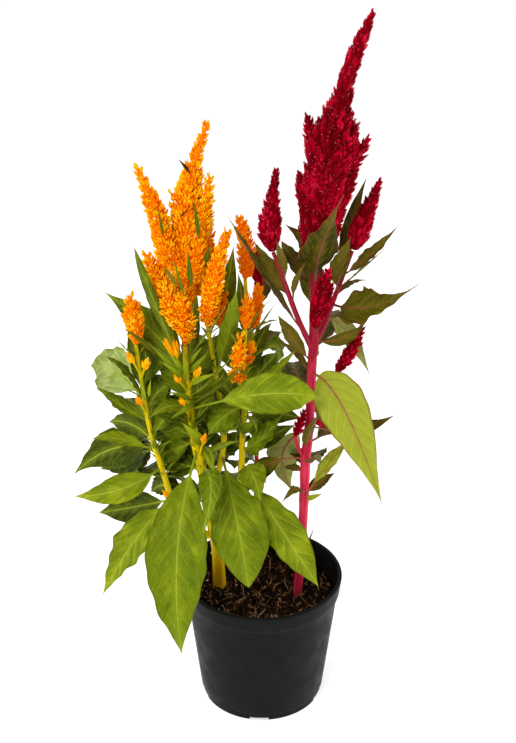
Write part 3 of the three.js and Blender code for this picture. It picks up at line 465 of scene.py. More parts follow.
# All spikelets: the ranges by which lean, size and thickness vary, how far they straighten at
# the plume's tip, and how thickness grows with the plume's radius. Their tapered core, which
# florets hide, is as floret_shape takes it, and its length and thickness are shares of theirs.
SPIKELET = Named(lean=(0.7, 1.25), size=(0.7, 1.3), thick=(0.8, 1.2), straighten=0.6,
                 thin=0.6, thick_per_mm=0.05, core=(5, [(0.0, 0.5), (0.3, 1.0), (0.7, 0.75)], 0.0),
                 core_length=0.95, core_thick=0.85)
# All florets: the ranges by which length and width vary, the place from which a plume's tip is
# full of them, how far they may face its axis, how they shrink along a spikelet and grow with
# the plume's radius, and the share of that radius where their painted light starts, and how
# fast it grows: florets deeper in the plume are painted in shade.
FLORET = Named(length=(0.7, 1.3), width=(0.75, 1.25), full_from=0.85, most_inward=-0.55,
               shrink=0.3, small=0.45, per_mm=0.055, scale=(0.5, 1.1), bright_from=0.45,
               bright_over=0.7)

SEEDS = Named(soil=7, leaves=11, plumes=21)

# ---------------------------------------------------------------- the stage's measures

# The camera in metres and degrees, with the focal length in pixels of the photograph.
CAMERA = Named(place=(-0.0039, -1.30, 1.0294), pitch=27.82, focal_pixels=1669, sensor=36,
               long_side=743)
# Lamps: (name, place, size, watts), in metres.
LAMPS = [
    ("key", (-0.9, -1.7, 2.0), 1.2, 34),
    ("left_edge", (-1.5, 0.3, 0.7), 1.0, 9),
    ("right_edge", (1.5, 0.2, 0.7), 1.0, 16),
]
LAMP_TARGET = (0, 0, 0.3)
SKY_STRENGTH = 0.62
FLOOR_REACH = 8.0

# ---------------------------------------------------------------- curves and frames


def unit(vectors):
    """Vectors at length 1."""
    vectors = np.asarray(vectors, float)
    return vectors / np.maximum(np.linalg.norm(vectors, axis=-1, keepdims=True), 1e-9)


def full_circle(count):
    """Angles spread evenly round a circle."""
    return np.linspace(0, 2 * math.pi, count, endpoint=False)


def around(side, over, angle):
    """Directions at angles in the planes of side and over."""
    return np.cos(angle)[:, None] * side + np.sin(angle)[:, None] * over


def triples(*columns):
    """Rows of three numbers, from three columns that are spread to one shape."""
    return np.stack(np.broadcast_arrays(*columns), -1).reshape(-1, 3)


def curve_points(path, places):
    """Points of the Catmull-Rom curve through a path, at places from 0 to 1."""
    path = np.asarray(path, float)
    row = np.vstack([2 * path[0] - path[1], path, 2 * path[-1] - path[-2]])
    position = np.clip(np.asarray(places, float), 0, 1) * (len(path) - 1)
    i = np.minimum(position.astype(int), len(path) - 2)
    w = (position - i)[:, None]
    before, start, end, after = row[i], row[i + 1], row[i + 2], row[i + 3]
    leave, arrive = (end - before) / 2, (after - start) / 2
    return ((2 * w**3 - 3 * w**2 + 1) * start + (w**3 - 2 * w**2 + w) * leave
            + (3 * w**2 - 2 * w**3) * end + (w**3 - w**2) * arrive)


def drawn_curve(start, middle, end, u):
    """Points and directions of a curve from start to end that is drawn towards middle."""
    u = u[:, None]
    points = (1 - u)**2 * start + 2 * u * (1 - u) * middle + u**2 * end
    return points, unit((1 - u) * (middle - start) + u * (end - middle))


def frames_along(path, steps):
    """Points, tangents and two cross directions at even steps, turning as little as they can."""
    places = np.linspace(0, 1, steps + 1)
    points = curve_points(path, places)
    nudge = 0.001
    tangents = unit(curve_points(path, places + nudge) - curve_points(path, places - nudge))
    sides = []
    side = np.array([1.0, 0.0, 0.0])
    for tangent in tangents:
        side = unit(side - side @ tangent * tangent)
        sides.append(side)
    sides = np.array(sides)
    return points, tangents, sides, np.cross(tangents, sides)


def path_length(points):
    """Distance along points, from 0 at the first."""
    steps = np.linalg.norm(np.diff(points, axis=0), axis=1)
    return np.concatenate([[0], np.cumsum(steps)])


def read_row(values, places):
    """Values read from an even row, at places from 0 to 1."""
    return np.interp(places, np.linspace(0, 1, len(values)), values)


def grid_faces(rows, columns, closed=False):
    """Quads of a grid of points; closed joins its last column to its first."""
    across = np.arange(columns if closed else columns - 1)
    i, j = np.meshgrid(np.arange(rows - 1), across, indexing="ij")
    k = (j + 1) % columns
    corners = [i * columns + j, i * columns + k, (i + 1) * columns + k, (i + 1) * columns + j]
    return np.stack(corners, -1).reshape(-1, 4)


def repeat_faces(faces, corners, count):
    """The faces of count copies of a shape that has this many corners."""
    return (faces[None] + corners * np.arange(count)[:, None, None]).reshape(-1, 3)


# ---------------------------------------------------------------- pieces


def put_in_scene(name, data):
    """A new object in the scene."""
    thing = bpy.data.objects.new(name, data)
    bpy.context.scene.collection.objects.link(thing)
    return thing


class Piece:
    """Gathers the parts of one piece in millimetres. Every point carries a pattern and traits,
    three numbers each, which its material reads."""

    def __init__(self, name, materials):
        self.name = name
        self.materials = materials
        self.points, self.patterns, self.traits = [], [], []
        self.corners, self.sizes, self.slots = [], [], []
        self.count = 0

    def add(self, points, faces, material, pattern=(0, 0, 0), traits=(0, 0, 0)):
        """A part: its points, its faces of 3 or 4 corners, and what its points carry."""
        points = np.asarray(points, float).reshape(-1, 3)
        self.points.append(points)
        for kept, carried in ((self.patterns, pattern), (self.traits, traits)):
            kept.append(np.broadcast_to(np.asarray(carried, float), points.shape))
        self.corners.append((faces + self.count).ravel())
        self.sizes.append(np.full(len(faces), faces.shape[1]))
        self.slots.append(np.full(len(faces), self.materials.index(material)))
        self.count += len(points)

    def add_blade(self, sheet, thick, faces, upper, under, pattern, traits):
        """A blade's upper face, and its under face with the faces turned over."""
        self.add(sheet + thick, faces, upper, pattern, traits)
        self.add(sheet - thick, faces[:, ::-1], under, pattern, traits)

    def make(self, slot):
        """The Blender object, riding on the part and standing for the CAD node of its name."""
        mesh = bpy.data.meshes.new(self.name)
        corners, sizes = np.concatenate(self.corners), np.concatenate(self.sizes)
        mesh.vertices.add(self.count)
        mesh.vertices.foreach_set("co", (np.concatenate(self.points) * MM).ravel())
        mesh.loops.add(len(corners))
        mesh.loops.foreach_set("vertex_index", corners)
        mesh.polygons.add(len(sizes))
        mesh.polygons.foreach_set("loop_start", np.cumsum(sizes) - sizes)
        mesh.polygons.foreach_set("loop_total", sizes)
        mesh.polygons.foreach_set("material_index", np.concatenate(self.slots))
        mesh.polygons.foreach_set("use_smooth", np.ones(len(sizes), bool))
        for name, rows in (("pattern", self.patterns), ("traits", self.traits)):
            layer = mesh.attributes.new(name, "FLOAT_VECTOR", "POINT")
            layer.data.foreach_set("vector", np.concatenate(rows).ravel())
        mesh.update(calc_edges=True)
        for material in self.materials:
            mesh.materials.append(MATERIALS[material])
        piece = put_in_scene(self.name, mesh)
        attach(piece, "root")
        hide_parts(self.name)
        print(f"{self.name}: {int((sizes - 2).sum())} triangles")
        return piece


# ---------------------------------------------------------------- materials


class Value:
    """A node's output, to reckon with as with a number."""

    def __init__(self, shader, socket):
        self.shader, self.socket = shader, socket

    def __add__(self, other):
        return self.shader.math("ADD", self, other)

    def __sub__(self, other):
        return self.shader.math("SUBTRACT", self, other)

    def __mul__(self, other):
        return self.shader.math("MULTIPLY", self, other)

    def __truediv__(self, other):
        return self.shader.math("DIVIDE", self, other)

    def ease(self, start, end, low=0.0, high=1.0):
        """A smooth step from low where this is start to high where it is end."""
        values = {"Value": self, "From Min": start, "From Max": end, "To Min": low, "To Max": high}
        return self.shader.value("MapRange", values, interpolation_type="SMOOTHSTEP")


class Shader:
    """A material's node tree, with short calls for the nodes that it needs. Colours are given
    as six hex digits."""

    def __init__(self, name, roughness, specular):
        self.material = bpy.data.materials.new(name)
        self.material.use_nodes = True
        self.tree = self.material.node_tree
        self.surface = self.tree.nodes["Principled BSDF"]
        self.set(self.surface, {"Roughness": roughness, "Specular IOR Level": specular})

    def set(self, node, values):
        """Sets or links a node's inputs."""
        for name, value in values.items():
            if isinstance(value, Value):
                self.tree.links.new(value.socket, node.inputs[name])
            elif isinstance(value, str):
                node.inputs[name].default_value = colour(value)
            else:
                node.inputs[name].default_value = value

    def node(self, kind, values, **settings):
        """A new node."""
        node = self.tree.nodes.new("ShaderNode" + kind)
        for name, value in settings.items():
            setattr(node, name, value)
        self.set(node, values)
        return node

    def value(self, kind, values, output=0, **settings):
        """A new node's output."""
        return Value(self, self.node(kind, values, **settings).outputs[output])

    def parts(self, vector):
        """The three numbers of a vector."""
        return [Value(self, s) for s in self.node("SeparateXYZ", {"Vector": vector}).outputs]

    def place(self):
        """The place on the object, in metres."""
        return self.value("TexCoord", {}, "Object")

    def carried(self, name):
        """The three numbers that the mesh carries under a name."""
        return self.parts(self.value("Attribute", {}, "Vector", attribute_name=name))

    def math(self, operation, first, second=0.0):
        """A sum, product or the like of one or two numbers."""
        return self.value("Math", {0: first, 1: second}, operation=operation)

    def noise(self, scale, vector=None, detail=3.0, roughness=0.55):
        """Soft noise from 0 to 1, on the object's own place unless a vector is given."""
        values = {"Scale": scale, "Detail": detail, "Roughness": roughness}
        values["Vector"] = vector or self.place()
        return self.value("TexNoise", values, "Fac")

    def vector(self, x, y):
        """A vector of two numbers."""
        return self.value("CombineXYZ", {"X": x, "Y": y})

    def blend(self, body, *layers):
        """A colour with layers over it, each a share and a colour."""
        for share, over in layers:
            node = self.node("Mix", {"Factor": share}, data_type="RGBA")
            ends = [k for k, socket in enumerate(node.inputs) if socket.type == "RGBA"]
            self.set(node, dict(zip(ends, (body, over))))
            body = Value(self, next(socket for socket in node.outputs if socket.type == "RGBA"))
        return body

    def finish(self, body, height, distance, strength):
        """The material with its colour, and relief of a distance in millimetres."""
        values = {"Height": height, "Distance": distance * MM, "Strength": strength}
        self.set(self.surface, {"Base Color": body, "Normal": self.value("Bump", values)})
        return self.material


def colour(code):
    """A colour from six hex digits, as the shader's linear numbers."""
    values = [int(code[i:i + 2], 16) / 255 for i in (0, 2, 4)]
    return (*(v / 12.92 if v <= 0.04045 else ((v + 0.055) / 1.055) ** 2.4 for v in values), 1)


def leaf_material(name, light, blade, deep, vein, rib, margin, roughness):
    """A leaf's face. Pattern: vein phase, distance from the midrib, place along the leaf.
    Traits: tone from light at 0 to deep at 1, nearness to the margin, space between veins."""
    shader = Shader(name, roughness, 0.06)
    phase, lateral, place = shader.carried("pattern")
    tone, edge, space = shader.carried("traits")
    patches = shader.noise(38, detail=4).ease(0.3, 0.7, -0.18, 0.18)
    along_veins = shader.vector(phase * 1.7, lateral * 0.1)
    tone = tone + shader.noise(1, along_veins).ease(0.3, 0.7, -0.14, 0.14) + patches

    wander = shader.noise(85, detail=2).ease(0.25, 0.75, -0.1, 0.1)
    cell = shader.math("FRACT", phase + wander)
    millimetres = shader.math("ABSOLUTE", cell - 0.5) * space
    fade = edge.ease(1, 0.6) * shader.noise(160, detail=2).ease(0.35, 0.62, 0.3, 1)
    vein_line = millimetres.ease(0.45, 0.08) * fade
    pillow = millimetres.ease(0.3, 3.2)

    net = {"Vector": shader.vector(phase * 3.1, lateral * 0.38), "Scale": 1}
    cracks = shader.value("TexVoronoi", net, "Distance", feature="DISTANCE_TO_EDGE")
    net_line = cracks.ease(0.1, 0)
    rib_line = (lateral / place.ease(0, 1, 1.4, 0.35)).ease(1, 0.4)

    body = shader.blend(
        light, (tone.ease(0, 0.5), blade), (tone.ease(0.5, 1), deep), (pillow * 0.17, deep),
        (lateral.ease(7, 0) * 0.22, vein), (net_line * 0.16, vein), (vein_line * 0.36, vein),
        (rib_line * 0.55, rib), (edge.ease(0.88, 1) * 0.75, margin))
    relief = pillow - net_line * 0.3 + shader.noise(900, detail=2) * 0.12
    return shader.finish(body, relief, 0.8, 0.6)


def stem_material(name, low, high, streak, low_to, high_from, roughness, top, top_from):
    """A stem's skin: streaked along its length, and turning from low to high to top on the way up.
    Pattern: turns round the stem, distance along it, and the groove at that angle."""
    shader = Shader(name, roughness, 0.07)
    turns, along, groove = shader.carried("pattern")
    height = shader.parts(shader.place())[2]
    crown = height.ease(top_from * MM, (top_from + 90) * MM)
    streaks = shader.noise(1, shader.vector(turns * 22, along * 0.03)).ease(0.42, 0.62)
    marks = (streaks * 0.55 + groove * 0.3) * shader.math("SUBTRACT", 1, crown * 0.6)
    lift = height.ease(low_to * MM, high_from * MM)
    body = shader.blend(low, (lift, high), (crown, top), (marks, streak))
    return shader.finish(body, streaks + shader.noise(600, detail=2), 0.25, 0.6)


def floret_material(name, root, body, tip, ruddy, speck, speck_from):
    """Florets. Pattern: place from root to tip, a random number, depth in the plume.
    Traits: how ruddy the plume is, how bright its lobe is, and how bright its tuft is."""
    shader = Shader(name, 0.7, 0.02)
    place, random, depth = shader.carried("pattern")
    redness, glow, tuft = shader.carried("traits")
    patches = shader.noise(55).ease(0.32, 0.68, -0.2, 0.2)
    # Reach mixes painted light and shade with tone: depth, low deep in the plume, paints shade on     the florets there in the root colour and light on the outer ones in the tip colour, while     place, patches, glow and tuft vary the tone.
    reach = place * 0.35 + depth * 0.4 + (patches + glow * 0.2) + tuft.ease(0, 1, -0.12, 0.12)
    tip_tone_and_light = random.ease(0, 1, 0.6, 1) * reach.ease(0.4, 1)
    pale = random.ease(speck_from, speck_from + 0.005) * place.ease(0.35, 0.6)
    mixed = shader.blend(root, (reach.ease(0.15, 0.7), body), (tip_tone_and_light, tip), (redness, ruddy),
                         (pale, speck))
    return shader.finish(mixed, shader.noise(1500, detail=2), 0.12, 0.5)


def dry_material(name, dark, light):
    """Dry brown leaf tips and twigs. Their pattern isn't read."""
    shader = Shader(name, 0.75, 0.05)
    grain = shader.noise(260, detail=5).ease(0.35, 0.7)
    return shader.finish(shader.blend(dark, (grain, light)), grain, 0.2, 0.8)


def pot_material(name, body, dust, scuff):
    """Matt black moulded plastic with a fine grain, scuffs and a little dust."""
    shader = Shader(name, 0.5, 0.08)
    dusty = shader.noise(28, detail=6).ease(0.5, 0.8)
    scuffs = shader.noise(220, detail=5).ease(0.64, 0.74)
    shader.set(shader.surface, {
        "Roughness": shader.noise(60, detail=4).ease(0.3, 0.7, 0.42, 0.58)})
    body = shader.blend(body, (dusty, dust), (scuffs * 0.18, scuff))
    return shader.finish(body, shader.noise(2600, detail=2), 0.08, 0.5)


def earth_material(name, dark, light, scale, depth):
    """Crumbly matter in two tones. Traits: a random number of the crumb."""
    shader = Shader(name, 0.95, 0.05)
    random = shader.carried("traits")[0]
    grains = shader.noise(scale, detail=6, roughness=0.7)
    tone = (grains + random * 0.35).ease(0.45, 0.9)
    return shader.finish(shader.blend(dark, (tone, light)), grains, depth, 1.0)


def floor_material():
    """White studio paper that is lit from below as well, so that it stays white."""
    shader = Shader("floor_paper", 0.9, 0.0)
    shade, light = ((tone, tone, tone, 1) for tone in (0.84, 0.86))
    tint = shader.blend(shade, (shader.noise(3, detail=2), light))
    shader.set(shader.surface, {
        "Base Color": tint, "Emission Color": (1, 1, 1, 1), "Emission Strength": 0.42})
    return shader.material


# Every material's look, in the order of what its function takes after the name.
LOOKS = {
    pot_material: {"pot_plastic": ("0c0d0d", "131414", "3c3c3b")},
    dry_material: {"dry_leaf": ("2c1c0a", "7c5418")},
    earth_material: {
        "soil_peat": ("050302", "3a2616", 320, 1.2),
        "soil_bark": ("1c0f08", "8a6040", 500, 0.4),
        "soil_perlite": ("b4aea0", "e8e4dc", 700, 0.3),
    },
    leaf_material: {
        "orange_leaf": ("9eaa16", "6c7e06", "303e00", "a6b42c", "bcc03c", "5c6408", 0.42),
        "orange_leaf_under": ("b0bc74", "7c9030", "54681c", "aeba60", "b8be5c", "808c3a", 0.6),
        "red_leaf": ("a6b032", "5c5606", "322c00", "8a8228", "94502e", "7c3422", 0.42),
        "red_leaf_under": ("a4aa58", "7c8238", "585c24", "a4a25c", "a0604c", "84503c", 0.6),
    },
    stem_material: {
        "orange_stem": ("d08404", "f0c806", "b4b40c", 120, 190, 0.4, "ccb80c", 260),
        "orange_rib": ("a2ac28", "a2ac28", "8c9c1c", 120, 200, 0.45, "86981c", 200),
        "red_stem": ("ac1230", "c0183a", "d83c58", 120, 220, 0.38, "861420", 310),
        "red_rib": ("a03a44", "8c5a3c", "b46a5c", 150, 420, 0.42, "7c4430", 330),
    },
    floret_material: {
        "orange_floret": ("f88200", "ffae00", "ffcc18", "f05800", "ffe68c", 0.985),
        "red_floret": ("72000c", "be0422", "ea1246", "74000a", "f48cac", 0.95),
    },
}
MATERIALS = {name: make(name, *look) for make, looks in LOOKS.items()
             for name, look in looks.items()}

# ---------------------------------------------------------------- pot


def arc_between(start, end, corner, steps=5):
    """Points of a rounded corner from start to end."""
    start, end, corner = (np.asarray(point, float) for point in (start, end, corner))
    return drawn_curve(start, corner, end, np.linspace(0, 1, steps + 1))[0].tolist()


def wall_radius(z):
    """The outer radius of the pot's tapering wall at a height."""
    top = POT.rim - POT.lip_step
    return POT.base + (top - POT.base) * z / POT.height


def turned(profile, segments):
    """Points and faces of a profile of (radius, height) turned round the axis."""
    radius, height = np.asarray(profile, float).T[..., None]
    angle = full_circle(segments)
    points = triples(radius * np.cos(angle), radius * np.sin(angle), height)
    return points, grid_faces(len(profile), segments, closed=True)


def cutter(points, faces):
    """A hidden mesh object for a boolean cut."""
    mesh = bpy.data.meshes.new("cutter")
    mesh.from_pydata((np.asarray(points) * MM).tolist(), [], faces)
    return put_in_scene("cutter", mesh)


def notch_box(turn):
    """A cutter for a notch in the foot: a box turned about the pot's axis."""
    corners = np.array([[x, y, z] for x in (-1, 1) for y in (-1, 1) for z in (-1, 1)]) / 2
    size = [POT.notch_width, POT.notch_depth, 2 * POT.notch_height]
    points = corners * size + [0, -POT.base, 0]
    c, s = math.cos(turn), math.sin(turn)
    points = points @ np.array([[c, s, 0], [-s, c, 0], [0, 0, 1]])
    faces = [(0, 1, 3, 2), (4, 6, 7, 5), (0, 4, 5, 1), (2, 3, 7, 6), (0, 2, 6, 4), (1, 5, 7, 3)]
    return cutter(points, faces)


def drain_rod(turn, sides=24):
    """A cutter for a drain: a round rod through the pot's floor."""
    ring = full_circle(sides)
    x = POT.drain_radius * np.cos(ring) + POT.drain_ring * math.sin(turn)
    y = POT.drain_radius * np.sin(ring) - POT.drain_ring * math.cos(turn)
    low, high = (np.stack([x, y, np.full(sides, z)], -1) for z in (-5.0, 15.0))
    faces = [(j, (j + 1) % sides, sides + (j + 1) % sides, sides + j) for j in range(sides)]
    ends = [tuple(range(sides - 1, -1, -1)), tuple(range(sides, 2 * sides))]
    return cutter(np.vstack([low, high]), faces + ends)


def cut_away(piece, cutters):
    """Takes the cutters out of a piece's mesh, and then out of the scene."""
    for tool in cutters:
        modifier = piece.modifiers.new("cut", "BOOLEAN")
        modifier.operation = "DIFFERENCE"
        modifier.object = tool
    depsgraph = bpy.context.evaluated_depsgraph_get()
    cut = bpy.data.meshes.new_from_object(piece.evaluated_get(depsgraph))
    piece.modifiers.clear()
    piece.data = cut
    for tool in cutters:
        bpy.data.objects.remove(tool)


def pot_profile():
    """The pot's outline as (radius, height): from the underside's middle out to the foot, up
    the outside with its ledge and lip, over the rim and down the inside to the floor."""
    top, rim, pad, recess = POT.height, POT.rim, POT.pad, POT.recess
    lip, lip_base = POT.lip_step, POT.height - POT.lip
    inside = rim - lip - POT.wall
    foot = POT.base - POT.foot
    step, ledge = POT.ledge_step, POT.ledge
    outer = wall_radius
    rows = [[AXIS_GAP, 0], [pad, 0]]
    rows += arc_between([pad + 1, 1], [pad + 3, recess], [pad + 1.5, 4.5])
    rows += arc_between([foot - 3, recess], [foot, 0.4], [foot - 0.5, recess - 0.4])
    rows += [[foot + 0.3, 0]]
    rows += arc_between([outer(0) - step - 1.2, 0], [outer(1.2) - step, 1.2], [outer(0) - step, 0])
    rows += [[outer(ledge - 1) - step, ledge - 1]]
    rows += arc_between([outer(ledge) - step, ledge], [outer(ledge + 1.2), ledge + 1.2],
                        [outer(ledge), ledge + 0.3], 4)
    rows += [[outer(z), z] for z in (20, 40, 60, 80, 100, lip_base - 1.5)]
    rows += arc_between([outer(lip_base) + 0.1, lip_base - 0.4],
                        [outer(lip_base + 1) + 1.5, lip_base + 0.8],
                        [outer(lip_base) + 0.2, lip_base + 0.4], 4)
    rows += [[outer(lip_base + 2) + lip + 0.1, lip_base + 2]]
    rows += [[outer(z) + lip, z] for z in (top - 10, top - 6)]
    rows += arc_between([rim, top - 1.4], [rim - 1.4, top], [rim, top])
    rows += arc_between([inside + 0.9, top], [inside, top - 1], [inside, top])
    rows += [[outer(z) - POT.wall, z] for z in (top - 3, top - 8, top - 20, 60, 30, POT.floor)]
    return rows + [[AXIS_GAP, POT.floor]]


def make_pot():
    """The pot: a turned shell with a ledge and a rounded lip, foot notches and drains."""
    piece = Piece("pot", ["pot_plastic"])
    piece.add(*turned(pot_profile(), 160), "pot_plastic")
    notches = np.radians(POT.notch_turn + 360 * np.arange(POT.notches) / POT.notches)
    drains = 2 * math.pi * (np.arange(POT.drains) + 0.5) / POT.drains
    tools = [notch_box(turn) for turn in notches] + [drain_rod(turn) for turn in drains]
    cut_away(piece.make("pot_plastic"), tools)


# ---------------------------------------------------------------- soil


def soil_height(x, y):
    """The soil's height at a place: low mounds that sum to a few millimetres."""
    mounds = (np.sin(x * 0.11 + 1) * np.cos(y * 0.13) + 0.6 * np.sin(x * 0.27 + y * 0.21)
              + 0.4 * np.cos(x * 0.41 - y * 0.37))
    return SOIL.top + SOIL.relief * 0.5 * mounds


def crumb_shape():
    """A unit ball of 20 faces."""
    g = (1 + math.sqrt(5)) / 2
    points = unit([[-1, g, 0], [1, g, 0], [-1, -g, 0], [1, -g, 0], [0, -1, g], [0, 1, g],
                   [0, -1, -g], [0, 1, -g], [g, 0, -1], [g, 0, 1], [-g, 0, -1], [-g, 0, 1]])
    faces = np.array([
        [0, 11, 5], [0, 5, 1], [0, 1, 7], [0, 7, 10], [0, 10, 11], [1, 5, 9], [5, 11, 4],
        [11, 10, 2], [10, 7, 6], [7, 1, 8], [3, 9, 4], [3, 4, 2], [3, 2, 6], [3, 6, 8],
        [3, 8, 9], [4, 9, 5], [2, 4, 11], [6, 2, 10], [8, 6, 7], [9, 8, 1]])
    return points, faces


def random_turns(count, rng):
    """Rotation matrices in every direction."""
    w, x, y, z = unit(rng.normal(size=(count, 4))).T
    rows = [[1 - 2 * (y * y + z * z), 2 * (x * y - z * w), 2 * (x * z + y * w)],
            [2 * (x * y + z * w), 1 - 2 * (x * x + z * z), 2 * (y * z - x * w)],
            [2 * (x * z - y * w), 2 * (y * z + x * w), 1 - 2 * (x * x + y * y)]]
    return np.array(rows).transpose(2, 0, 1)


def strew(piece, count, size, shape, material, edge, rng):
    """Crumbs strewn over the soil: a size range in mm and a stretch in three directions."""
    points, faces = crumb_shape()
    angle = rng.uniform(0, 2 * math.pi, count)
    radius = edge * np.sqrt(rng.uniform(0, 1, count))
    x, y = radius * np.cos(angle), radius * np.sin(angle)
    sizes = rng.uniform(*size, count)[:, None, None] / 2
    lumps = points * (1 + SOIL.lumpy * rng.normal(size=(count, len(points), 1)).clip(-1, 1))
    lumps = lumps * sizes * np.asarray(shape)
    lumps = lumps @ random_turns(count, rng)
    z = soil_height(x, y) + rng.uniform(-0.2, 0.6, count) * sizes[:, 0, 0]
    lumps += np.stack([x, y, z], -1)[:, None, :]
    traits = np.repeat(rng.uniform(0, 1, count), len(points))[:, None]
    piece.add(lumps, repeat_faces(faces, len(points), count), material, traits=traits)


def make_soil():
    """The soil: an uneven surface with a skirt below its edge, and crumbs strewn over it."""
    rng = np.random.default_rng(SEEDS.soil)
    piece = Piece("soil", ["soil_peat", "soil_bark", "soil_perlite"])
    edge = wall_radius(SOIL.top) - POT.wall - SOIL.gap
    angle = full_circle(SOIL.segments)
    radius = np.linspace(AXIS_GAP, edge, SOIL.rings)[::-1, None]
    x, y = radius * np.cos(angle), radius * np.sin(angle)
    z = soil_height(x, y)
    for scale, height in SOIL.waves:
        a, b = rng.uniform(0, 6, 2)
        z = z + height * np.sin(scale * (x + 0.6 * y) + a) * np.cos(scale * (y - 0.5 * x) + b)
    z += rng.normal(0, SOIL.rough, z.shape)
    z[:len(SOIL.sunk_edge)] -= np.array(SOIL.sunk_edge)[:, None]
    skirt = np.stack([x[0], y[0], z[0] - SOIL.skirt], -1)
    points = np.concatenate([skirt[None], np.stack([x, y, z], -1)])
    faces = grid_faces(SOIL.rings + 1, SOIL.segments, closed=True)
    piece.add(points, faces, "soil_peat", traits=(0.2, 0, 0))
    for count, size, shape, material, margin in CRUMBS:
        strew(piece, count, size, shape, material, edge - margin, rng)
    piece.make("soil")


# ---------------------------------------------------------------- stems and leaves


def add_tube(piece, path, radius_at, material, sides, step, ridges=0, ridge=0.0, pattern=None,
             traits=(0, 0, 0)):
    """A tube along a path, with ridges along it. radius_at reads places from 0 to 1."""
    length = path_length(curve_points(path, np.linspace(0, 1, 40)))[-1]
    steps = max(4, int(length / step))
    points, _, side, over = frames_along(path, steps)
    angle = full_circle(sides)
    relief = np.cos(ridges * angle) if ridges else 0 * angle
    radius = radius_at(np.linspace(0, 1, steps + 1))[:, None] * (1 + ridge * relief)
    rings = (points[:, None] + radius[..., None] * (
        np.cos(angle)[:, None] * side[:, None] + np.sin(angle)[:, None] * over[:, None]))
    rings = np.concatenate([rings, np.repeat(points[-1:, None], sides, axis=1)])
    if pattern is None:
        along = path_length(points)
        along = np.append(along, along[-1])[:, None]
        pattern = triples(angle / (2 * math.pi), along, 0.5 - 0.5 * relief)
    piece.add(rings, grid_faces(len(rings), sides, closed=True), material, pattern, traits)


def blade_shape(place, belly, point):
    """Half the blade's width at a place past its stalk, as a share of the widest half."""
    before, after = LEAF.shape * belly, LEAF.shape * (1 - belly) * point
    return (place / belly)**before * ((1 - place) / (1 - belly))**after


def blade_faces(rows, columns):
    """Triangles of a blade's grid. Each quad is cut from its first corner to its third."""
    quads = grid_faces(rows + 1, columns + 1)
    return np.concatenate([quads[:, [0, 1, 2]], quads[:, [0, 2, 3]]])


def leaf_midrib(root, tip, arch, swing, bow, roll, u):
    """Points, sides and normals along a leaf's arched midrib."""
    chord = tip - root
    heading = unit([chord[0], chord[1], 0])
    across = np.cross(UP, heading)
    rise = unit(np.cross(chord, across))
    middle = root + chord * bow + rise * 2 * arch + across * 2 * swing
    points, tangents = drawn_curve(root, middle, tip, u)
    flat = unit(across - (tangents @ across)[:, None] * tangents)
    turn = math.radians(roll)
    sides = flat * math.cos(turn) + np.cross(tangents, flat) * math.sin(turn)
    return points, sides, np.cross(tangents, sides)


def leaf_tone_and_shade(tip, width, rng):
    """How deep a leaf's green is: deeper inside the plant, partly its own deeper green and partly
    painted shade, and lighter on large front leaves.
    """
    inside = np.interp(tip[1], [TONE.front, TONE.back], [0.0, TONE.inside])
    return TONE.middle + inside - TONE.per_mm * width + rng.uniform(-TONE.range, TONE.range)


def leaf_relief(width, length, half, blade, u, c, turn):
    """A leaf's points as distances from the midrib and heights over the leaf's plane, their
    vein phase, and the space between veins. c is the place across, from -1 to 1."""
    sign = np.where(c >= 0, 1.0, -1.0)
    ripples = np.sin(2 * math.pi * DETAIL.ripples * blade + turn + 2 * sign)
    lateral = half * c * (1 + DETAIL.ripple * ripples)
    wave = np.sin(2 * math.pi * LEAF.waves * blade + sign)
    ruffles = np.sin(2 * math.pi * DETAIL.ruffles * blade + turn + 3 * sign)
    ruffle = DETAIL.ruffle * ruffles * np.abs(c)**3
    lift = half * (LEAF.cup + LEAF.wave * wave) * np.abs(c)**1.6
    lift = (lift + half * ruffle) * (blade > 0)
    pairs = np.clip(length / DETAIL.vein_gap, DETAIL.fewest_pairs, DETAIL.most_pairs)
    slope = np.interp(width, [8, 30], [2.4, 1.0])
    forward = slope * np.abs(lateral) + 0.8 * lateral**2 / (width / 2)
    phase = pairs * (u - forward / length) + np.where(c >= 0, 0.5, 0.0)
    space = length / pairs
    quilt = np.cos(2 * math.pi * phase) * np.sin(math.pi * np.abs(c)) * DETAIL.quilt * space
    return lateral, lift + quilt * np.minimum(half / 10, 1), phase, space


def add_leaf(piece, stem_path, leaf, plant, rng):
    """One leaf: an upper and an under face with sunken veins, and a midrib that is its stalk."""
    place, tip, width, arch, swing, extras = leaf
    own = Named(**{**LEAF_DEFAULTS, **extras})
    root = curve_points(stem_path, [place])[0]
    tip = np.asarray(tip, float)
    rows, columns = next(grid for least, grid in LEAF_GRIDS if width > least)
    u = np.linspace(0, 1, rows + 1)
    points, sides, normals = leaf_midrib(root, tip, arch, swing, own.bow, own.roll, u)
    length = path_length(points)[-1]
    u = u[:, None]
    blade = np.clip((u - own.petiole) / (1 - own.petiole), 0, 1)
    half = np.maximum(LEAF.root_half * (1 - u) * 0.8,
                      width / 2 * blade_shape(blade, own.belly, own.point))
    c = np.linspace(-1, 1, columns + 1)
    lateral, lift, phase, space = leaf_relief(
        width, length, half, blade, u, c, rng.uniform(0, 6))
    sheet = (points[:, None] + sides[:, None] * lateral[..., None]
             + normals[:, None] * lift[..., None])
    thick = normals[:, None] * (DETAIL.thick * (1 - c**2))[:, None]
    tone = leaf_tone_and_shade(tip, width, rng) + own.tone
    upper, under = plant + "_leaf", plant + "_leaf_under"
    if own.turned:
        upper, under = under, upper
    piece.add_blade(sheet, thick, blade_faces(rows, columns)[:, ::-1], upper, under,
                    triples(phase, np.abs(lateral), u),
                    triples(tone + 0 * lateral, np.abs(c), space))
    rib = min(DETAIL.rib_most, DETAIL.rib_least + width * DETAIL.rib_per_mm)
    line = np.concatenate([points[:-2:3], points[-2:-1]])
    add_tube(piece, line - 0.35 * rib * normals[0], lambda s: rib * (1 - s)**0.8 + 0.1,
             plant + "_rib", sides=5, step=length / min(14, rows / 2))


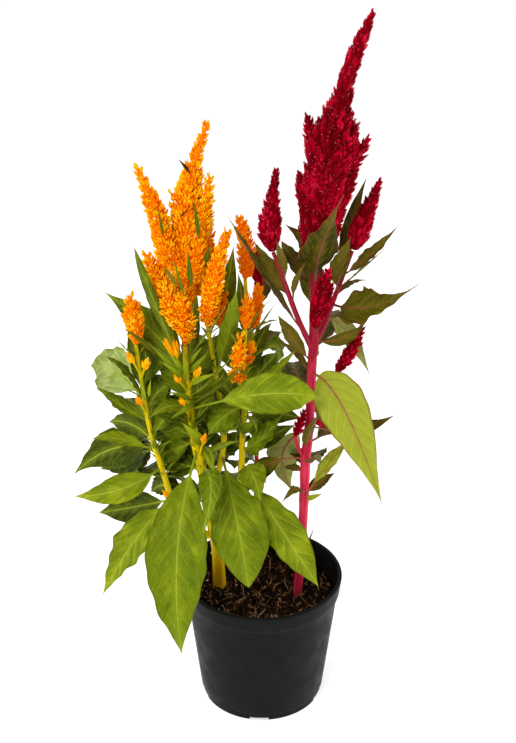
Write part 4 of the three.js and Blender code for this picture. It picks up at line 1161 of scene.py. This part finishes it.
def add_bract(piece, root, tip, width, tone, material, facing=(0, -0.8, 0.6)):
    """A narrow leaf from root to tip, folded along its middle, whose face turns to facing."""
    rows, columns = 8, 4
    root, tip = np.asarray(root, float), np.asarray(tip, float)
    side = unit(np.cross(tip - root, facing))
    middle = (root + tip) / 2 + BRACT.arch * np.cross(side, tip - root)
    u = np.linspace(0, 1, rows + 1)
    points, tangents = drawn_curve(root, middle, tip, u)
    normals = np.cross(side, tangents)
    u = u[:, None]
    half = width / 2 * np.maximum(blade_shape(u, BRACT.belly, BRACT.point), BRACT.foot * (1 - u))
    c = np.linspace(-1, 1, columns + 1)
    sheet = (points[:, None] + side * (half * c)[..., None]
             + normals[:, None] * (half * BRACT.fold * np.abs(c))[..., None])
    thick = normals[:, None] * (BRACT.thick * (1 - c**2))[:, None]
    lateral = np.abs(half * c)
    piece.add_blade(sheet, thick, blade_faces(rows, columns), material, material,
                    triples(0, 1 + 3 * lateral, u),
                    triples(tone + 0 * lateral, 0.9 * np.abs(c), BRACT.vein_gap))


def add_bracts(piece, plant):
    """The bracts that the table has for a piece. Green ones name no material of their own."""
    for root, tip, width, tone, *material in BRACTS.get(piece.name, []):
        add_bract(piece, root, tip, width, tone, *(material or [plant + "_leaf"]))


def add_spray(piece, path, place, radius, plant, rng):
    """A few bracts round a stem's joint."""
    joint = curve_points(path, [place])[0]
    start = rng.uniform(0, 2 * math.pi)
    for k in range(SPRAY.count):
        angle = start + k * GOLDEN_ANGLE
        out = np.array([math.cos(angle), math.sin(angle), 0])
        rise = math.radians(rng.uniform(SPRAY.flattest, SPRAY.steepest))
        length = rng.uniform(SPRAY.shortest, SPRAY.longest)
        root = joint + out * radius * 0.7
        tip = root + length * (out * math.cos(rise) + UP * math.sin(rise))
        add_bract(piece, root, tip, length * SPRAY.width, rng.uniform(-0.2, 0.6),
                  plant + "_leaf", UP)


def add_bud(piece, root, tip, radius, plant, rng):
    """A bud: a thin stalk, and a tuft of florets that closes over its tip."""
    tip = np.asarray(tip, float)
    length = np.linalg.norm(tip - root)
    up = (tip - root) / length
    tall = min(BUD.most_of_length * length, BUD.most_of_radius * radius)
    foot = tip - up * tall
    add_tube(piece, [root, (root + foot) / 2, foot + up * 2],
             lambda s: BUD.stalk - BUD.stalk_taper * s, plant + "_stem", sides=8, step=4.0)
    side = unit(np.cross(up, [0.3, 1.0, 0.2]))
    count = BUD.florets
    share = (np.arange(count) + 0.5) / count
    radial = around(side, np.cross(up, side), np.arange(count) * GOLDEN_ANGLE)
    origins = (foot + up * (BUD.rows * tall * share)[:, None]
               + radial * (radius * BUD.core * (1 - 0.8 * share))[:, None])
    direction = (up + radial * (BUD.spread * (1 - share))[:, None]
                 + rng.normal(0, BUD.stray, (count, 3)))
    lengths = BUD.length * tall * (1 - 0.1 * share) * rng.uniform(0.8, 1.15, count)
    widths = BUD.width * radius * (1 - 0.3 * share) * rng.uniform(0.85, 1.15, count)
    random, tuft = rng.uniform(0, 1, (2, count))
    scatter(piece, floret_shape(*BUD.shape), origins, direction,
            np.broadcast_to(up, (count, 3)), lengths, widths, plant + "_floret", random, 0.8,
            (0, 0.6, tuft))


def add_leafy_stem(piece, name, plant, rng):
    """A stem with its shoots, leaves, sprays of bracts and buds."""
    path, radii = STEMS[name]
    joints = np.array([leaf[0] for leaf in LEAVES[name]])

    def radius_at(s):
        swell = np.exp(-((s[:, None] - joints) / JOINT.reach)**2).sum(axis=1).clip(0, 1)
        return read_row(radii, s) * (1 + JOINT.swell * swell)

    add_tube(piece, path, radius_at, plant + "_stem", sides=24, step=2.0, ridges=6, ridge=0.055)
    for shoot in SHOOTS.get(name, []):
        add_tube(piece, shoot, lambda s: read_row(SHOOT_RADII, s), plant + "_stem", sides=10,
                 step=3.0)
    for leaf in LEAVES[name] + SMALL_LEAVES.get(name, []):
        add_leaf(piece, path, leaf, plant, rng)
    for place, tip, radius in BUDS.get(name, []):
        add_bud(piece, curve_points(path, [place])[0], tip, radius, plant, rng)
    if name in SPRAYS:
        for place in joints[joints >= SPRAYS[name]]:
            add_spray(piece, path, place, read_row(radii, place), plant, rng)


def make_plant(name, stems, rng):
    """All the stems that grow from one root."""
    plant = name.split("_")[0]
    kinds = ["_stem", "_leaf", "_leaf_under", "_rib", "_floret"]
    piece = Piece(name, [plant + kind for kind in kinds] + ["dry_leaf"])
    for stem in stems:
        add_leafy_stem(piece, stem, plant, rng)
    add_bracts(piece, plant)
    for axis, radius, redness in TUFTS.get(name, []):
        add_plume(piece, axis, [share * radius for share in CONE], plant, rng, redness)
    piece.make(plant + "_foliage")


# ---------------------------------------------------------------- plumes


def floret_shape(sides, rings, bend):
    """A floret along +Z of length 1 and half width 1, bent towards +X: its points, its faces
    and the bend. rings holds a height and radius each."""
    points = [[radius * math.cos(a), radius * math.sin(a), height]
              for height, radius in rings for a in full_circle(sides)]
    faces = []
    for i in range(len(rings) - 1):
        for j in range(sides):
            a, b = i * sides + j, i * sides + (j + 1) % sides
            faces += [[a, b, b + sides], [a, b + sides, a + sides]]
    last = (len(rings) - 1) * sides
    faces += [[last + j, last + (j + 1) % sides, last + sides] for j in range(sides)]
    return np.array(points + [[0, 0, 1.0]]), np.array(faces), bend


def scatter(piece, shape, origins, directions, towards, lengths, widths, material, random, depth,
            tints):
    """Copies of a floret shape at origins, along directions and bent towards others. Each copy
    carries a random number, its depth in the plume and three tints."""
    points, faces, bend = shape
    z = unit(directions)
    x = unit(towards - (towards * z).sum(axis=1, keepdims=True) * z)
    y = np.cross(z, x)
    place = points[:, 2]
    sideways = points[:, 0] * widths[:, None] + bend * place**2 * lengths[:, None]
    height = place * lengths[:, None]
    copies = (origins[:, None] + sideways[..., None] * x[:, None]
              + (points[:, 1] * widths[:, None])[..., None] * y[:, None]
              + height[..., None] * z[:, None])
    random, depth, *tints = (np.reshape(value, (-1, 1)) for value in (random, depth, *tints))
    piece.add(copies, repeat_faces(faces, len(points), len(origins)), material,
              triples(place + 0 * height, random, depth),
              triples(tints[0] + 0 * height, *tints[1:]))


def spread_by_area(path, radii, spacing, rng):
    """Places and angles that cover a plume evenly, by the golden angle."""
    s = np.linspace(0, 1, 200)
    length = path_length(curve_points(path, s))
    girth = 2 * math.pi * (read_row(radii, s) + 1.5)
    area = np.concatenate([[0], np.cumsum((girth[1:] + girth[:-1]) / 2 * np.diff(length))])
    count = max(6, int(area[-1] / spacing**2))
    wanted = (np.arange(count) + 0.5) / count * area[-1]
    places = np.interp(wanted, area, s) + rng.normal(0, 0.004, count)
    angles = np.arange(count) * GOLDEN_ANGLE + rng.normal(0, 0.15, count)
    return places.clip(0, 1), angles


def grow_spikelets(path, radii, style, rng):
    """The spikelets of a plume, each with its place, outward way, direction and measures."""
    places, angles = spread_by_area(path, radii, style.spacing, rng)
    steps = 60
    _, tangents, side, over = frames_along(path, steps)
    i = np.round(places * steps).astype(int)
    outward = around(side[i], over[i], angles)
    radius = read_row(radii, places)
    lean = np.radians(style.lean) * rng.uniform(*SPIKELET.lean, len(i))
    lean *= 1 - SPIKELET.straighten * places**4
    direction = tangents[i] * np.cos(lean)[:, None] + outward * np.sin(lean)[:, None]
    size = (style.share * radius + style.base) * rng.uniform(*SPIKELET.size, len(i))
    axis = curve_points(path, places)
    roots = axis + outward * (radius * style.root)[:, None]
    thick = style.thick * (SPIKELET.thin + SPIKELET.thick_per_mm * radius)
    thick *= rng.uniform(*SPIKELET.thick, len(i))
    return Named(places=places, outward=outward, direction=direction, radius=radius, size=size,
                 axis=axis, roots=roots, thick=thick, tuft=rng.uniform(0, 1, len(i)))


def add_plume(piece, path, radii, plant, rng, redness=0.0, glow=0.5, keep=None):
    """A plume: a core, spikelets that lean out of it by the golden angle, and their florets.
    redness and glow tint it, and keep says which points are outside the other plumes."""
    style = STYLES[plant]
    material = plant + "_floret"
    # The core, and the spikelets' cores below, carry a low depth, so that their material paints them     in shade.
    add_tube(piece, path, lambda s: read_row(radii, s) * style.core, material, sides=12,
             step=4.0, pattern=(0, 0.1, 0), traits=(redness, glow, 0))
    spikes = grow_spikelets(path, radii, style, rng)
    scatter(piece, floret_shape(*SPIKELET.core), spikes.roots, spikes.direction, spikes.outward,
            spikes.size * SPIKELET.core_length, spikes.thick * SPIKELET.core_thick, material,
            0.15, 0.15, (redness, glow, spikes.tuft))

    # Florets, as rows of (spikelet, rank on it), with share their place along the spikelet.
    ranks = np.arange(int(spikes.size.max() * style.per_mm))
    counts = (spikes.size * style.per_mm).astype(int)
    share = (ranks + 0.5) / counts[:, None]
    i, rank = np.nonzero(share <= 1)
    share = share[i, rank]
    direction, outward, radius = spikes.direction[i], spikes.outward[i], spikes.radius[i]
    across = unit(np.cross(direction, outward))
    radial = around(across, np.cross(across, direction), rank * GOLDEN_ANGLE)
    girth = spikes.thick[i] * np.sin(math.pi * (0.12 + 0.82 * share))**0.8
    origins = (spikes.roots[i] + direction * (spikes.size[i] * share)[:, None]
               + radial * (girth * 0.7)[:, None])
    reach = ((origins - spikes.axis[i]) * outward).sum(axis=1) / np.maximum(radius, 1)
    shown = (reach > style.inner) | (spikes.places[i] > FLORET.full_from)
    shown &= (radial * outward).sum(axis=1) > FLORET.most_inward
    if keep is not None:
        shown &= keep(origins)
    out = direction + radial * read_row(style.flare, share)[:, None]
    out += rng.normal(0, style.stray, out.shape)
    count = int(shown.sum())
    scale = (FLORET.small + FLORET.per_mm * radius[shown]).clip(*FLORET.scale)
    scale = (1 - FLORET.shrink * share[shown]) * scale
    lengths = style.length * scale * rng.uniform(*FLORET.length, count)
    widths = style.half_width * scale * rng.uniform(*FLORET.width, count)
    # How far out a floret sits, from 0 deep in the plume to 1 at its outside: its material paints     shade on the deep ones by it, and light on the outer ones.
    depth = ((reach[shown] - FLORET.bright_from) / FLORET.bright_over).clip(0, 1)
    scatter(piece, floret_shape(style.sides, style.rings, style.bend), origins[shown],
            out[shown], direction[shown], lengths, widths, material,
            rng.uniform(0, 1, count), depth, (redness, glow, spikes.tuft[i][shown]))


def lobes_on(path, radii, count, highest):
    """Lobes that lean out of a plume's core all round it, by the golden angle, as in the CAD."""
    points, tangents, side, over = frames_along(path, 2 * count)
    lobes = []
    for k in range(count):
        place = LOBE.lowest + (highest - LOBE.lowest) * k / (count - 1)
        i = round(place * 2 * count)
        radius = read_row(radii, place)
        out = math.cos(k * GOLDEN_ANGLE) * side[i] + math.sin(k * GOLDEN_ANGLE) * over[i]
        reach = LOBE.reach + LOBE.spread * ((k * GOLDEN_SHARE) % 1)
        rise = radius * LOBE.rise + LOBE.lift
        tip = points[i] + out * radius * reach + tangents[i] * rise
        root = points[i] + out * radius * LOBE.root
        lobes.append(([root, tip], radius * LOBE.girth + LOBE.thick))
    return lobes


def outside_of(others):
    """A test for points that are outside the inner part of other plumes."""
    s = np.linspace(0, 1, 40)
    rows = [(curve_points(path, s), read_row(radii, s)) for path, radii in others]

    def keep(points):
        out = np.ones(len(points), bool)
        for axis, radii in rows:
            distance = np.linalg.norm(points[:, None] - axis, axis=-1)
            out &= (distance / radii).min(axis=1) > INNER_PART
        return out

    return keep


def make_plume(name, rng):
    """A whole flower head with its side plumes."""
    plant = name.split("_")[0]
    piece = Piece(name, [plant + "_floret", plant + "_leaf", "dry_leaf"])
    path, radii = PLUMES[name]
    cones = SIDE_PLUMES.get(name, [])
    if name in LOBES:
        cones = cones + lobes_on(path, radii, *LOBES[name])
    sides = [(axis, [share * r for share in CONE]) for axis, r in cones]
    every = [(path, radii)] + sides
    for k, (axis, row) in enumerate(every):
        keep = outside_of(every[:k] + every[k + 1:]) if sides else None
        glow = rng.uniform(0, 1) if k else MAIN_GLOW
        add_plume(piece, axis, row, plant, rng, REDNESS.get(name, 0.0), glow, keep)
    add_bracts(piece, plant)
    piece.make(plant + "_floret")


# ---------------------------------------------------------------- stage


def make_floor():
    """A wide square of paper that the pot stands on."""
    mesh = bpy.data.meshes.new("floor")
    corners = [(-1, -1), (1, -1), (1, 1), (-1, 1)]
    mesh.from_pydata([(FLOOR_REACH * x, FLOOR_REACH * y, 0) for x, y in corners], [],
                     [(0, 1, 2, 3)])
    mesh.materials.append(floor_material())
    put_in_scene("floor", mesh)


def add_lamp(name, place, size, watts):
    """A soft square lamp that faces the middle of the plants."""
    lamp = bpy.data.lights.new(name, "AREA")
    lamp.size = size
    lamp.energy = watts
    light = put_in_scene(name, lamp)
    light.location = place
    away = Vector(place) - Vector(LAMP_TARGET)
    light.rotation_euler = away.to_track_quat("Z", "Y").to_euler()


def make_stage():
    """Floor, soft lights and the camera at the photograph's viewing angle."""
    make_floor()
    scene = bpy.context.scene
    world = bpy.data.worlds.new("studio")
    scene.world = world
    world.use_nodes = True
    sky = world.node_tree.nodes["Background"].inputs
    sky["Color"].default_value = (1, 1, 1, 1)
    sky["Strength"].default_value = SKY_STRENGTH
    for lamp in LAMPS:
        add_lamp(*lamp)
    scene.view_settings.view_transform = "Standard"
    lens = bpy.data.cameras.new("camera")
    lens.sensor_width = CAMERA.sensor
    lens.lens = CAMERA.focal_pixels * CAMERA.sensor / CAMERA.long_side
    camera = put_in_scene("camera", lens)
    camera.location = CAMERA.place
    camera.rotation_euler = (math.radians(90 - CAMERA.pitch), 0, 0)
    scene.camera = camera


# ---------------------------------------------------------------- assembly

make_stage()
make_pot()
make_soil()
leaf_rng = np.random.default_rng(SEEDS.leaves)
for plant_name, stem_names in PLANTS.items():
    make_plant(plant_name, stem_names, leaf_rng)
plume_rng = np.random.default_rng(SEEDS.plumes)
for plume_name in PLUMES:
    make_plume(plume_name, plume_rng)
